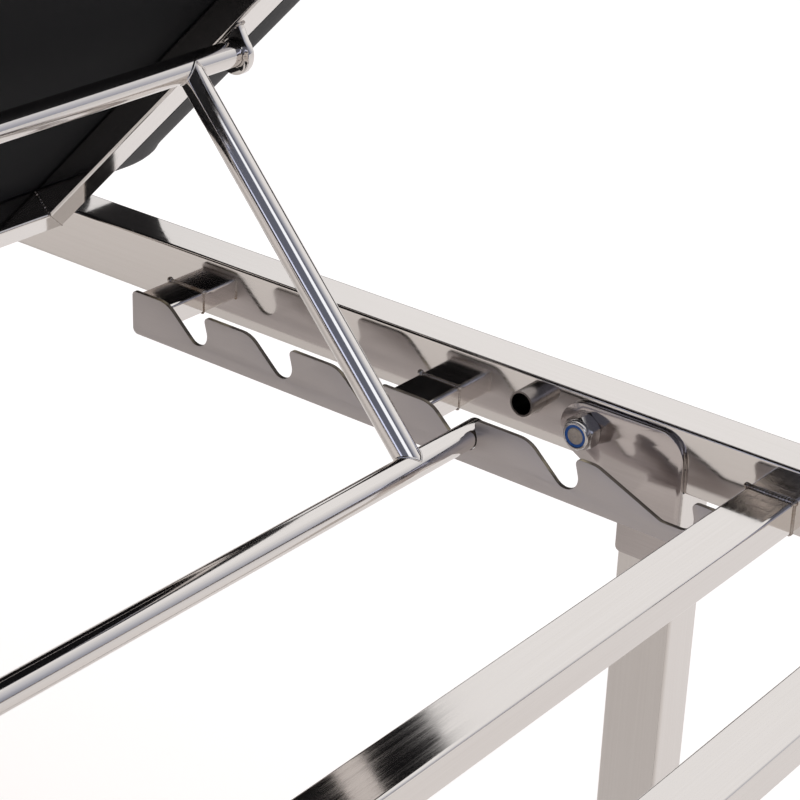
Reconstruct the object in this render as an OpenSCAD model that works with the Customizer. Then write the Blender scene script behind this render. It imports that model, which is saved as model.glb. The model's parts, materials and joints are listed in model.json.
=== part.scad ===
// Folding treatment table of polished stainless tube. The backrest is propped by a
// tube frame whose crossbar drops into notched rack plates on the side rails, and
// both pairs of legs fold under the rails on offset bracket plates.
// Millimetres. X runs to the head end, Y across, Z up from the floor. The origin is
// on the floor, in the middle of the table's overall length and width.

/* [Frame] */
// Width over the two side rails
frame_w = 580; // [460:1:760]
// Backrest hinge axis to the rails' foot end
seat_rail_len = 1103; // [1060:1:1400]
// Backrest hinge axis to the rails' head end
head_rail_len = 702; // [690:1:900]
// Floor to the underside of the side rails
rail_z = 556; // [500:1:580]
// Height of a side rail
rail_h = 40; // [38:1:50]
// Width of a side rail
rail_w = 30; // [25:1:40]
// Wall of every rectangular tube
tube_wall = 1.5; // [1:0.1:2.5]
// Outside corner radius of every rectangular tube
tube_r = 2; // [0.5:0.1:3]
// Width of a cross tube, along the table
cross_w = 30; // [26:1:40]
// Height of a cross tube and of the backrest ring
cross_h = 20; // [15:1:25]
// Hinge axis to the cross tube that carries it
hinge_cross_gap = 50; // [46:1:60]
// Hinge axis to the near side of the cross tube behind the racks
head_cross_x = 544; // [541:1:580]
// Hinge cross tube to the cross tube in the middle of the seat
seat_cross_step = 520; // [450:1:560]
// Foot end's caps to the nearest cross tube
foot_cross_gap = 30; // [5:1:60]

/* [Backrest ring] */
// Side clearance between the ring and each rail
ring_gap = 17; // [16.5:0.5:25]
// Hinge axis to the near end of the ring
ring_start = 15; // [13:0.5:20]
// Length of the ring
ring_len = 652; // [580:1:670]
// Hinge axis below the top of the ring
hinge_drop = 4; // [0:0.5:8]
// Radius of a hinge lug's eye
lug_r = 10; // [8:0.5:11]
// Thickness of a hinge lug
lug_t = 5; // [3:0.5:8]
// Distance of the hinge lugs from the middle of the table
lug_y = 217; // [150:1:225]
// Diameter of a hinge bolt
hinge_bolt_d = 8; // [6:1:10]

/* [Prop] */
// Diameter of the prop's tubes
prop_d = 16; // [14:0.5:17]
// Wall of the prop's tubes
prop_wall = 1.5; // [1:0.1:2.5]
// Rod axis to crossbar axis
prop_len = 261.9; // [255:0.1:266]
// Hinge axis to rod axis, along the ring
rod_along = 260; // [250:1:266]
// Rod axis below the ring
rod_drop = 10.3; // [9.5:0.1:14]
// Thickness of a rod ear
ear_t = 5; // [3:0.5:8]
// Distance of the two struts from the middle of the table
strut_y = 176; // [100:1:190]
// Length of crossbar beyond a rack plate
bar_over = 9.5; // [4:0.5:13]
// Notch that the crossbar rests in, counted from the steepest
rest_notch = 3; // [0:1:4]

/* [Rack] */
// Number of steep notches, before the long parking slot
notch_count = 5; // [4:1:5]
// Distance from notch to notch
notch_pitch = 71.4; // [70:0.1:72.5]
// Hinge axis to the first notch
notch_first = 161.4; // [158:0.1:164]
// Radius of a notch
notch_r = 8.5; // [8.3:0.1:9.5]
// Depth of a notch below the rack's top edge
notch_depth = 21.3; // [18:0.1:22]
// Slope of the ramp that leads out of a notch
ramp_angle = 42; // [38:1:46]
// Undercut of a tooth, from the vertical
undercut_angle = 15; // [5:1:20]
// Radius where a ramp meets the top edge
shoulder_r = 18; // [10:1:24]
// Radius of a tooth's tip
tip_r = 3; // [1:0.5:4]
// Height of the rack plate
rack_h = 30; // [28:1:40]
// Thickness of the rack plate
rack_t = 3; // [2:0.5:5]
// Clearance between the rack plate and the rail
rack_gap = 31.5; // [30:0.5:34]
// Top of the rack below the ring when the table is flat
rack_top_gap = 2; // [1:0.5:4]
// Hinge axis to the rack's foot end
rack_start = 104; // [95:1:108]
// Depth of the parking slot
park_depth = 18.9; // [17:0.1:20]
// Slope of the ramp into the parking slot
park_angle = 23; // [21:0.5:28]
// Length of the parking slot's floor
park_run = 10.5; // [4:0.5:14]
// Hinge axis to the end of the parking slot
park_x = 523.5; // [520:0.5:528]
// Width of a rack stand-off, along the rail
standoff_w = 30; // [20:1:34]
// Height of a rack stand-off
standoff_h = 15; // [12:1:17]
// Hinge axis to each stand-off
standoff_first = 120; // [119.5:0.5:126]
// Distance between the stand-offs
standoff_pitch = 210; // [190:1:230]

/* [Accessory socket] */
// Hinge axis to the socket
socket_x = 399.7; // [395:0.1:405]
// Height of the socket above the rail's underside
socket_z = 27; // [20:1:28]
// Outside diameter of the socket tube
socket_d = 16; // [14:0.5:18]
// Bore of the socket tube
socket_bore = 13; // [10:0.5:13]
// Length of socket that stands inside the rail
socket_out = 14; // [5:0.5:15]

/* [Legs] */
// Foot end to the axis of the foot legs
leg_inset = 263; // [240:1:300]
// Axis of the head legs to the cross tube behind the racks
leg_cross_gap = 105; // [98:1:112]
// Height of the leg pivot above the rail's underside
pivot_z = 20; // [18.5:0.5:22]
// Pivot to the near side of the leg tube
leg_offset = 25.5; // [22:0.5:30]
// Width of a leg tube, along the rail
leg_w = 40; // [30:1:45]
// Thickness of a leg bracket plate
bracket_t = 3; // [2.5:0.5:5.5]
// Radius of a leg bracket's round end
bracket_r = 17; // [15:0.5:18]
// Leg pivot to the tip of the bracket's round end
bracket_tip = 18.5; // [17:0.5:19]
// Leg pivot to the bracket's top edge
bracket_rise = 15.5; // [15:0.5:17]
// Radius of a leg bracket's upper corner
bracket_corner_r = 17; // [4:1:17]
// Length of leg bracket below the pivot
bracket_drop = 70; // [60:1:90]
// Margin of the leg bracket beside the leg tube
bracket_margin = 0; // [0:0.5:4]
// Diameter of a leg pivot bolt
leg_bolt_d = 12; // [8:1:12]
// Pivot to the leg stretcher, measured down the leg
stretcher_drop = 450; // [300:1:480]
// Height of a rubber foot below the leg tube
foot_h = 10; // [6:1:20]

/* [Pads] */
// Width of the pads
pad_w = 690; // [660:1:800]
// Thickness of a pad at its edge
pad_t = 50; // [48:1:52]
// Height of the crown in the middle of a pad
pad_crown = 4; // [0:0.5:8]
// Radius of a pad's corners, seen from above
pad_corner_r = 12; // [6:1:40]
// Radius of a pad's top edge
pad_edge_r = 23; // [18:1:24]
// Radius of a pad's lower edge
pad_base_r = 23; // [18:1:24]
// How far the sides are drawn in between the corners
pad_pull = 3; // [0:0.5:5]
// Backrest pad beyond the head end of the ring
back_pad_over = 57.5; // [20:0.5:90]
// Hinge axis to the near end of the backrest pad
back_pad_near = 4; // [3:0.5:10]
// Hinge axis to the near end of the seat pad
seat_pad_gap = 42; // [42:0.5:50]
// Pad beyond the rails at the foot end
pad_over = 22.5; // [0:0.5:40]
// Thickness of the plywood board in a pad
board_t = 12; // [8:1:18]
// Thickness of the pad's cover
cover_t = 1.5; // [1:0.1:2]
// Edge of a pad to the edge of the cover that is turned in under its board
cover_turn = 46; // [36:1:60]

/* [Hidden] */

$fn = 48;
run_fit = 0.05;     // radial clearance of a pin in its hole
slide_gap = 0.3;    // clearance between a leg bracket and the rail
face_gap = 0.15;    // clearance between a turning plate and its nut
cap_fit = 0.2;      // clearance of a plug in its tube
cap_t = 2;          // flange of a rail end cap
cap_in = 12;        // length of an end cap inside its tube
cap_clear = 1;      // clearance of a cross tube beside an end cap
weld_gap = 0.04;    // clearance of a coped tube end on its round neighbour
seat_rest = 0.3;    // clearance under the crossbar in its notch
rack_low_r = 4;     // radius of the rack's lower corner at the foot end
rack_top_r = 3;     // radius of the rack's upper corner there
lug_relief = 3;     // hinge lug above the underside of its tube
ear_wall = 5;       // rod ear round the rod
ear_flare = 3;      // how much wider a rod ear is at the ring, on each side
ear_inset = 1;      // rod ear's outer face behind the ring's inner side
rod_over = 1;       // length of rod beyond an ear
plug_t = 1;         // flange of a prop plug
plug_in = 8;        // length of a prop plug inside its tube
rod_flange = 1.5;   // how far the rod's plugs stand proud of the rod
eps = 1;            // overlap of cutting tools

hinge_x = (seat_rail_len + pad_over - head_rail_len) / 2;
hinge_z = rail_z + rail_h - hinge_drop;
rail_head_x = hinge_x + head_rail_len;
rail_foot_x = hinge_x - seat_rail_len;
rail_in = frame_w / 2 - rail_w;
ring_half = rail_in - ring_gap;
rack_top = rail_z + rail_h - cross_h - rack_top_gap;
rack_y = rail_in - rack_gap - rack_t;
notch_z = rack_top - notch_depth + notch_r;
prop_r = prop_d / 2;

// The resting notch sets the backrest's angle: hinge, rod and crossbar are a triangle.
rod_in_ring = [rod_along, -(cross_h - hinge_drop + rod_drop)];
bar_pos = [hinge_x + notch_first + rest_notch * notch_pitch,
    rack_top - notch_depth + prop_r + seat_rest];
bar_from_hinge = bar_pos - [hinge_x, hinge_z];
hinge_corner = acos((pow(norm(bar_from_hinge), 2) + pow(norm(rod_in_ring), 2)
    - pow(prop_len, 2)) / (2 * norm(bar_from_hinge) * norm(rod_in_ring)));
back_angle = atan2(bar_from_hinge[1], bar_from_hinge[0]) + hinge_corner
    - atan2(rod_in_ring[1], rod_in_ring[0]);
rod_pos = [hinge_x + rod_in_ring[0] * cos(back_angle) - rod_in_ring[1] * sin(back_angle),
    hinge_z + rod_in_ring[0] * sin(back_angle) + rod_in_ring[1] * cos(back_angle)];
strut_tilt = atan2(bar_pos[0] - rod_pos[0], bar_pos[1] - rod_pos[1]);

head_pivot_x = hinge_x + head_cross_x - leg_cross_gap;
foot_pivot_x = rail_foot_x + leg_inset;
leg_in = rail_in - slide_gap;
bracket_in = leg_in - bracket_t;
washer_t = 1.6;
washer_r = leg_bolt_d;
nut_h = 0.76;       // hexagon of a locking nut, as a share of the bolt's diameter
nut_collar = 0.24;  // round collar that holds its nylon ring, the same
leg_nut_af = 1.583 * leg_bolt_d;
hinge_nut_af = 1.625 * hinge_bolt_d;
bolt_head_h = 0.64 * leg_bolt_d;
nylon_w = 0.08;     // radial width of a nylon ring, as a share of the bolt's diameter
collar_w = 0.46;    // radius of a locking nut's collar, as a share of its width
hinge_head_h = 0.66 * hinge_bolt_d;

screw_d = 6;
screw_head_d = 12;
screw_head_h = 3.3;
screw_y = 120;      // distance of the board screws from the middle of the table
screw_edge = 8;     // distance of a board screw from its tube's side
screw_into = 9;     // depth of a screw hole in the board
screw_tip = 1;      // clearance beyond a screw's tip

low_pull = 0.7 * pad_pull;
cover_inset = pad_base_r - sqrt(pow(pad_base_r, 2) - pow(pad_base_r - cover_t, 2));
board_inset = cover_inset + cover_t + low_pull;
board_fit = 0.2;    // clearance between a board and its pad
seam_gap = 0.3;     // clearance between a dust cover and the turned-in cover

steel = [0.80, 0.79, 0.78];
satin_steel = [0.62, 0.60, 0.59];
black = [0.09, 0.09, 0.10];
cloth_black = [0.05, 0.05, 0.07];
plywood = [0.78, 0.62, 0.42];
nylon_blue = [0.10, 0.33, 0.66];

// Curves and sections
function arc(c, r, a0, a1, n) =
    [for (i = [0:n]) c + r * [cos(a0 + (a1 - a0) * i / n), sin(a0 + (a1 - a0) * i / n)]];
function between(a, b, n) = [for (i = [1:n - 1]) a + (b - a) * i / n];

module rounded_rect(w, h, r) {
    square([w - 2 * r, h], center = true);
    square([w, h - 2 * r], center = true);
    for (x = [-1, 1], y = [-1, 1])
        translate([x * (w / 2 - r), y * (h / 2 - r)]) circle(r);
}

module tube_section(w, h) {
    difference() {
        rounded_rect(w, h, tube_r);
        rounded_rect(w - 2 * tube_wall, h - 2 * tube_wall, max(tube_r - tube_wall, 0.4));
    }
}

// Rectangular tube along X, Y or Z, centred on its own section
module tube_x(len, w, h) { rotate([90, 0, 90]) linear_extrude(len) tube_section(w, h); }
module tube_y(len, w, h) {
    translate([0, len / 2, 0]) rotate([90, 0, 0]) linear_extrude(len) tube_section(w, h);
}
module tube_z(len, w, h) { linear_extrude(len) tube_section(w, h); }

// Round bar or hole along Y
module round_y(r, y0, y1) {
    translate([0, y1, 0]) rotate([90, 0, 0]) cylinder(h = y1 - y0, r = r);
}

// Plate in the XZ plane that reaches from y0 to y1
module plate_y(y0, y1) { translate([0, y1, 0]) rotate([90, 0, 0]) linear_extrude(y1 - y0) children(); }

// Side +1 is the left side, -1 the right side
module on_side(side) {
    if (side > 0) children();
    else mirror([0, 1, 0]) children();
}

// Backrest frame: the hinge axis at the origin, X along the ring, at the resting angle
module in_backrest() { translate([hinge_x, 0, hinge_z]) rotate([0, -back_angle, 0]) children(); }

// Leg frame: the pivot at the origin, the rail's end towards +X
module at_leg(end) {
    if (end > 0) translate([head_pivot_x, 0, rail_z + pivot_z]) children();
    else translate([foot_pivot_x, 0, rail_z + pivot_z]) mirror([1, 0, 0]) children();
}

// Side rails and their end caps
module side_rail(side) {
    color(steel) on_side(side) difference() {
        translate([rail_foot_x + cap_t, rail_in + rail_w / 2, rail_z + rail_h / 2])
            tube_x(rail_head_x - rail_foot_x - 2 * cap_t, rail_w, rail_h);
        for (end = [-1, 1]) at_leg(end) round_y(leg_bolt_d / 2 + run_fit, rail_in - eps,
            rail_in + rail_w + eps);
        translate([hinge_x + socket_x, 0, rail_z + socket_z])
            round_y(socket_d / 2 + run_fit, rail_in - eps, rail_in + rail_w + eps);
    }
}

module rail_end_cap() {
    in_w = rail_w - 2 * (tube_wall + cap_fit);
    in_h = rail_h - 2 * (tube_wall + cap_fit);
    rotate([90, 0, 90]) {
        translate([0, 0, -cap_t]) linear_extrude(cap_t) rounded_rect(rail_w, rail_h, tube_r);
        linear_extrude(cap_in) rounded_rect(in_w, in_h, max(tube_r - tube_wall, 0.4));
    }
}

module rail_end_caps() {
    color(black) for (side = [-1, 1]) {
        translate([rail_foot_x + cap_t, side * (rail_in + rail_w / 2), rail_z + rail_h / 2])
            rail_end_cap();
        translate([rail_head_x - cap_t, side * (rail_in + rail_w / 2), rail_z + rail_h / 2])
            mirror([1, 0, 0]) rail_end_cap();
    }
}

// Cross tubes between the rails: x is the tube's foot side, z its underside
head_end_cross_x = head_rail_len - cap_t - cap_in - cap_clear - cross_w;
hinge_cross_x = -hinge_cross_gap - cross_w;
seat_cross_x = hinge_cross_x - seat_cross_step;
foot_cross_x = -seat_rail_len + cap_t + cap_in + foot_cross_gap;
low_z = rail_h - 2 * cross_h;
high_z = rail_h - cross_h;

module cross_tube(x, z, bored = false) {
    color(steel) translate([hinge_x + x, 0, rail_z + z]) difference() {
        translate([cross_w / 2, 0, cross_h / 2]) tube_y(2 * rail_in, cross_w, cross_h);
        if (bored) for (side = [-1, 1]) translate([screw_edge, side * screw_y, -eps])
            cylinder(h = cross_h + 2 * eps, r = screw_d / 2 + run_fit);
    }
}

// Rack plates. The outline is drawn from the hinge axis, with the rack's top edge at 0.
function notch_side(c, z, a0) =
    let (u = undercut_angle,
        flank = [c, z] + notch_r * [cos(u), sin(u)],
        rise = (-tip_r - flank[1] - tip_r * sin(u)) / cos(u),
        tip = flank + rise * [-sin(u), cos(u)] + tip_r * [cos(u), sin(u)])
    concat(arc([c, z], notch_r, a0, 360 + u, 12), arc(tip, tip_r, 180 + u, 90, 4));

function ramp(c, z, slope) =
    let (foot = [c, z] + notch_r * [-sin(slope), -cos(slope)],
        drop = shoulder_r * (1 - cos(slope)),
        head_x = foot[0] - (-drop - foot[1]) / tan(slope))
    arc([head_x - shoulder_r * sin(slope), -shoulder_r], shoulder_r, 90, 90 - slope, 6);

function steep_notch(c) =
    let (z = notch_r - notch_depth)
    concat(ramp(c, z, ramp_angle), notch_side(c, z, 270 - ramp_angle));

function park_slot(c) =
    let (z = notch_r - park_depth)
    concat(ramp(c - park_run, z, park_angle),
        arc([c - park_run, z], notch_r, 270 - park_angle, 270, 3), notch_side(c, z, 270));

function rack_outline(end_x) = concat(
    arc([rack_start + rack_low_r, rack_low_r - rack_h], rack_low_r, 270, 180, 4),
    arc([rack_start + rack_top_r, -rack_top_r], rack_top_r, 180, 90, 4),
    [for (k = [0:notch_count - 1]) each steep_notch(notch_first + k * notch_pitch)],
    park_slot(park_x), [[end_x, 0], [end_x, -rack_h]]);

module rack(side) {
    color(satin_steel) on_side(side) translate([hinge_x, 0, rack_top])
        plate_y(rack_y, rack_y + rack_t) polygon(rack_outline(head_cross_x));
}

module rack_standoff(side, k) {
    color(steel) on_side(side)
        translate([hinge_x + standoff_first + k * standoff_pitch, rail_in - rack_gap / 2,
            rail_z + standoff_h / 2]) tube_y(rack_gap, standoff_w, standoff_h);
}

module accessory_socket(side) {
    color(steel) on_side(side) translate([hinge_x + socket_x, 0, rail_z + socket_z])
        difference() {
            round_y(socket_d / 2, rail_in - socket_out, rail_in + rail_w);
            round_y(socket_bore / 2, rail_in - socket_out - eps, rail_in + rail_w + eps);
        }
}

// Backrest hinge: a lug on the ring beside a lug on the hinge cross tube, on one bolt
module hinge_lug(y, reach) {
    foot_z = hinge_drop - cross_h;
    difference() {
        plate_y(y, y + lug_t) polygon(concat(arc([0, 0], lug_r, 90, 270, 16),
            [[reach, foot_z + lug_relief], [reach, hinge_drop]]));
        round_y(hinge_bolt_d / 2 + run_fit, y - eps, y + lug_t + eps);
    }
}

module fixed_hinge_lug(side) {
    color(steel) on_side(side) translate([hinge_x, 0, hinge_z])
        mirror([1, 0, 0]) hinge_lug(lug_y + slide_gap, hinge_cross_gap);
}

module moving_hinge_lug(side) {
    color(steel) on_side(side) in_backrest() hinge_lug(lug_y - lug_t, ring_start);
}

module hex_y(af, y0, y1) {
    translate([0, y1, 0]) rotate([90, 0, 0]) cylinder(h = y1 - y0, d = af / cos(30), $fn = 6);
}

function nut_end(bolt_d, y) = y - bolt_d * (nut_h + nut_collar);

// Locking nut on the inner side of y, with the nylon ring in its collar left out
module lock_nut(bolt_d, af, y) {
    ring_r = bolt_d * (0.5 + nylon_w);
    shoulder = y - bolt_d * nut_h;
    difference() {
        union() {
            hex_y(af, shoulder, y);
            round_y(collar_w * af, nut_end(bolt_d, y), shoulder);
        }
        round_y(bolt_d / 2 + run_fit, nut_end(bolt_d, y) - eps, y + eps);
        round_y(ring_r + run_fit, nut_end(bolt_d, y) - eps, shoulder);
    }
}

module nylon_ring(bolt_d, y) {
    shoulder = y - bolt_d * nut_h;
    difference() {
        round_y(bolt_d * (0.5 + nylon_w), nut_end(bolt_d, y), shoulder);
        round_y(bolt_d / 2 + run_fit, nut_end(bolt_d, y) - eps, shoulder + eps);
    }
}

hinge_nut_y = lug_y - lug_t - face_gap;
hinge_head_y = lug_y + slide_gap + lug_t;
leg_nut_y = bracket_in - face_gap;
leg_head_y = rail_in + rail_w + washer_t;

module hinge_bolts() {
    color(steel) for (side = [-1, 1]) on_side(side) translate([hinge_x, 0, hinge_z]) {
        round_y(hinge_bolt_d / 2, nut_end(hinge_bolt_d, hinge_nut_y), hinge_head_y + eps);
        hex_y(hinge_nut_af, hinge_head_y, hinge_head_y + hinge_head_h);
    }
}

module hinge_nuts() {
    color(steel) for (side = [-1, 1]) on_side(side) translate([hinge_x, 0, hinge_z])
        lock_nut(hinge_bolt_d, hinge_nut_af, hinge_nut_y);
}

module leg_bolts() {
    color(steel) for (side = [-1, 1], end = [-1, 1]) on_side(side) at_leg(end) {
        round_y(leg_bolt_d / 2, nut_end(leg_bolt_d, leg_nut_y), leg_head_y + eps);
        hex_y(leg_nut_af, leg_head_y, leg_head_y + bolt_head_h);
    }
}

// Washers under the leg bolts' heads, outside the rails
module leg_washers() {
    washer_in = rail_in + rail_w;
    color(steel) for (side = [-1, 1], end = [-1, 1]) on_side(side) at_leg(end) difference() {
        round_y(washer_r, washer_in, leg_head_y);
        round_y(leg_bolt_d / 2 + run_fit, washer_in - eps, leg_head_y + eps);
    }
}

module leg_nuts() {
    color(steel) for (side = [-1, 1], end = [-1, 1]) on_side(side) at_leg(end)
        lock_nut(leg_bolt_d, leg_nut_af, leg_nut_y);
}

module nylon_rings() {
    color(nylon_blue) for (side = [-1, 1]) on_side(side) {
        for (end = [-1, 1]) at_leg(end) nylon_ring(leg_bolt_d, leg_nut_y);
        translate([hinge_x, 0, hinge_z]) nylon_ring(hinge_bolt_d, hinge_nut_y);
    }
}

// Backrest ring: four mitred tubes
module mitre(long_side) {
    far = ring_len + 4 * ring_half;
    plan = long_side
        ? [[ring_start, ring_half], [ring_start + cross_w, ring_half - cross_w],
            [ring_start + ring_len - cross_w, ring_half - cross_w],
            [ring_start + ring_len, ring_half]]
        : [[ring_start, -ring_half], [ring_start + cross_w, cross_w - ring_half],
            [ring_start + cross_w, ring_half - cross_w], [ring_start, ring_half]];
    translate([0, 0, -far]) linear_extrude(2 * far) polygon(plan);
}

module ring_side(side) {
    color(steel) on_side(side) in_backrest() intersection() {
        translate([ring_start, ring_half - cross_w / 2, hinge_drop - cross_h / 2])
            tube_x(ring_len, cross_w, cross_h);
        mitre(true);
    }
}

module ring_end_tube() {
    difference() {
        intersection() {
            translate([ring_start + cross_w / 2, 0, hinge_drop - cross_h / 2])
                tube_y(2 * ring_half, cross_w, cross_h);
            mitre(false);
        }
        for (side = [-1, 1])
            translate([ring_start + cross_w - screw_edge, side * screw_y, -cross_h])
                cylinder(h = 2 * cross_h, r = screw_d / 2 + run_fit);
    }
}

module ring_low_end() { color(steel) in_backrest() ring_end_tube(); }

module ring_head_end() {
    color(steel) in_backrest() translate([2 * ring_start + ring_len, 0, 0])
        mirror([1, 0, 0]) ring_end_tube();
}

// Ears that carry the prop's rod under the ring, inside the rack plates
ear_y = ring_half - cross_w + ear_inset;

module rod_ear(side) {
    ear_r = prop_r + ear_wall;
    under = hinge_drop - cross_h;
    color(steel) on_side(side) in_backrest() difference() {
        plate_y(ear_y, ear_y + ear_t) translate([rod_in_ring[0], rod_in_ring[1]])
            polygon(concat(arc([0, 0], ear_r, 180, 360, 18),
                [for (x = [1, -1]) [x * (ear_r + ear_flare), under - rod_in_ring[1]]]));
        translate([rod_in_ring[0], 0, rod_in_ring[1]])
            round_y(prop_r + run_fit, ear_y - eps, ear_y + ear_t + eps);
    }
}

// Prop: rod, two coped struts and crossbar, with plugged ends
module prop_tube(r_out, half) {
    difference() {
        round_y(r_out, -half, half);
        round_y(r_out - prop_wall, -half - eps, half + eps);
    }
}

rod_half = ear_y + ear_t + rod_over;
bar_half = rack_y + rack_t + bar_over - plug_t;

module prop_rod() {
    color(steel) translate([rod_pos[0], 0, rod_pos[1]]) prop_tube(prop_r, rod_half);
}

module prop_bar() {
    color(steel) translate([bar_pos[0], 0, bar_pos[1]]) prop_tube(prop_r, bar_half);
}

module plug(half, flange_r) {
    for (side = [-1, 1]) on_side(side) {
        round_y(prop_r - prop_wall - cap_fit, half - plug_in, half);
        round_y(flange_r, half, half + plug_t);
    }
}

module prop_rod_plugs() {
    color(steel) translate([rod_pos[0], 0, rod_pos[1]]) plug(rod_half, prop_r + rod_flange);
}

module prop_bar_plugs() {
    color(steel) translate([bar_pos[0], 0, bar_pos[1]]) plug(bar_half, prop_r);
}

module prop_strut(side) {
    color(steel) on_side(side) difference() {
        translate([rod_pos[0], strut_y, rod_pos[1]]) rotate([0, strut_tilt, 0]) difference() {
            cylinder(h = prop_len, r = prop_r);
            translate([0, 0, -eps]) cylinder(h = prop_len + 2 * eps, r = prop_r - prop_wall);
        }
        for (end = [rod_pos, bar_pos]) translate([end[0], strut_y, end[1]])
            round_y(prop_r + weld_gap, -2 * prop_d, 2 * prop_d);
    }
}

// Legs. Each is drawn from its pivot, with the rail's end towards +X.
leg_top = -pivot_z - slide_gap;
leg_bottom = -(rail_z + pivot_z) + foot_h;
leg_mid = leg_offset + leg_w / 2;

module leg(end, side) {
    color(steel) on_side(side) at_leg(end)
        translate([leg_mid, leg_in + rail_w / 2, leg_bottom])
            tube_z(leg_top - leg_bottom, leg_w, rail_w);
}

function bracket_outline() =
    let (near = leg_offset - bracket_margin,
        far = leg_offset + leg_w + bracket_margin,
        low_r = 3.5,
        inner_r = 10,
        slant = 30,
        middle = [bracket_r - bracket_tip, bracket_rise - bracket_r],
        start = middle + bracket_r * [-sin(slant), -cos(slant)],
        meet_z = start[1] - (near - start[0]) * tan(slant),
        inner_z = meet_z - inner_r * (1 - sin(slant)) / cos(slant))
    concat(arc(middle, bracket_r, 90, 270 - slant, 16),
        arc([near - inner_r, inner_z], inner_r, 90 - slant, 0, 5),
        arc([near + low_r, low_r - bracket_drop], low_r, 180, 270, 4),
        arc([far - low_r, low_r - bracket_drop], low_r, 270, 360, 4),
        arc([far - bracket_corner_r, bracket_rise - bracket_corner_r], bracket_corner_r, 0, 90, 8));

module leg_bracket(end, side) {
    color(steel) on_side(side) at_leg(end) difference() {
        plate_y(bracket_in, leg_in) polygon(bracket_outline());
        round_y(leg_bolt_d / 2 + run_fit, bracket_in - eps, leg_in + eps);
    }
}

module stretcher(end) {
    color(steel) at_leg(end) translate([leg_mid, 0, -stretcher_drop])
        tube_y(2 * leg_in, cross_h, cross_w);
}

module leg_feet(end) {
    in_w = leg_w - 2 * (tube_wall + cap_fit);
    in_h = rail_w - 2 * (tube_wall + cap_fit);
    color(black) for (side = [-1, 1]) on_side(side) at_leg(end)
        translate([leg_mid, leg_in + rail_w / 2, leg_bottom]) {
            translate([0, 0, -foot_h]) linear_extrude(foot_h) rounded_rect(leg_w, rail_w, tube_r);
            linear_extrude(cap_in) rounded_rect(in_w, in_h, max(tube_r - tube_wall, 0.4));
        }
}

// Pads: a crowned cushion whose cover goes round a board and is turned in under it
function pad_plan(l, w, r) =
    let (x = l / 2 - r, y = w / 2 - r)
    concat(arc([x, y], r, 0, 90, 4), between([x, y + r], [-x, y + r], 8),
        arc([-x, y], r, 90, 180, 4), between([-x - r, y], [-x - r, -y], 8),
        arc([-x, -y], r, 180, 270, 4), between([-x, -y - r], [x, -y - r], 8),
        arc([x, -y], r, 270, 360, 4), between([x + r, -y], [x + r, y], 8));

// One ring of the cushion: inset from the plan, height, pull of its sides and crown
function pad_ring(l, w, inset, z, pull, crown) =
    [for (p = pad_plan(l - 2 * inset, w - 2 * inset, max(pad_corner_r - inset, 1)))
        let (along = 1 - pow(2 * p[0] / l, 2), across = 1 - pow(2 * p[1] / w, 2))
        [p[0] * (1 - 2 * pull / l * across), p[1] * (1 - 2 * pull / w * along),
            z + crown * along * across]];

module cushion(l, w) {
    side_z = pad_t - pad_edge_r;
    top_steps = 6;
    reach = w / 2 - pad_edge_r - eps;
    rings = concat(
        [for (a = [0:22.5:90])
            [pad_base_r * (1 - sin(a)), pad_base_r * (1 - cos(a)), low_pull * pow(sin(a), 2), 0]],
        [for (a = [0:15:90]) [pad_edge_r * (1 - cos(a)), side_z + pad_edge_r * sin(a),
            pad_pull, pad_crown * pow(sin(a), 2)]],
        [for (i = [1:top_steps]) [pad_edge_r + reach * i / top_steps, pad_t,
            pad_pull * (1 - i / top_steps), pad_crown]]);
    n = len(pad_plan(l, w, pad_corner_r));
    last = len(rings) - 1;
    walls = [for (k = [0:last - 1], i = [0:n - 1]) let (j = (i + 1) % n)
        each [[k * n + i, (k + 1) * n + i, k * n + j],
            [k * n + j, (k + 1) * n + i, (k + 1) * n + j]]];
    middle = [[0, 0, 0], [0, 0, pad_t + pad_crown]];
    base_fan = [for (i = [0:n - 1]) [n * (last + 1), i, (i + 1) % n]];
    top_fan = [for (i = [0:n - 1]) [n * (last + 1) + 1, last * n + (i + 1) % n, last * n + i]];
    polyhedron(concat([for (q = rings) each pad_ring(l, w, q[0], q[1], q[2], q[3])], middle),
        concat(walls, base_fan, top_fan));
}

module board_plan(l, w, inset) {
    rounded_rect(l - 2 * inset, w - 2 * inset, max(pad_corner_r - inset, 2));
}

module screw_holes(screw_xs, h) {
    for (x = screw_xs, side = [-1, 1]) translate([x, side * screw_y, -eps])
        cylinder(h = h + eps, r = screw_d / 2 + run_fit);
}

module pad(l, screw_xs) {
    difference() {
        cushion(l, pad_w);
        translate([0, 0, cover_t]) linear_extrude(board_t + board_fit)
            board_plan(l, pad_w, board_inset);
        translate([0, 0, -eps]) linear_extrude(cover_t + 2 * eps) board_plan(l, pad_w, cover_turn);
        screw_holes(screw_xs, cover_t + eps);
    }
}

module board(l, screw_xs) {
    difference() {
        translate([0, 0, cover_t]) linear_extrude(board_t) board_plan(l, pad_w, board_inset + board_fit);
        screw_holes(screw_xs, cover_t + screw_into);
    }
}

module dust_cover(l, screw_xs) {
    difference() {
        linear_extrude(cover_t) board_plan(l, pad_w, cover_turn + seam_gap);
        screw_holes(screw_xs, cover_t + eps);
    }
}

// Screws that hold a board on its tubes, with their heads under the tubes
module screws(screw_xs) {
    for (x = screw_xs, side = [-1, 1]) translate([x, side * screw_y, -cross_h]) {
        cylinder(h = cross_h + cover_t + screw_into - screw_tip, r = screw_d / 2);
        translate([0, 0, -screw_head_h]) cylinder(h = screw_head_h, d = screw_head_d);
    }
}

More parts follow.
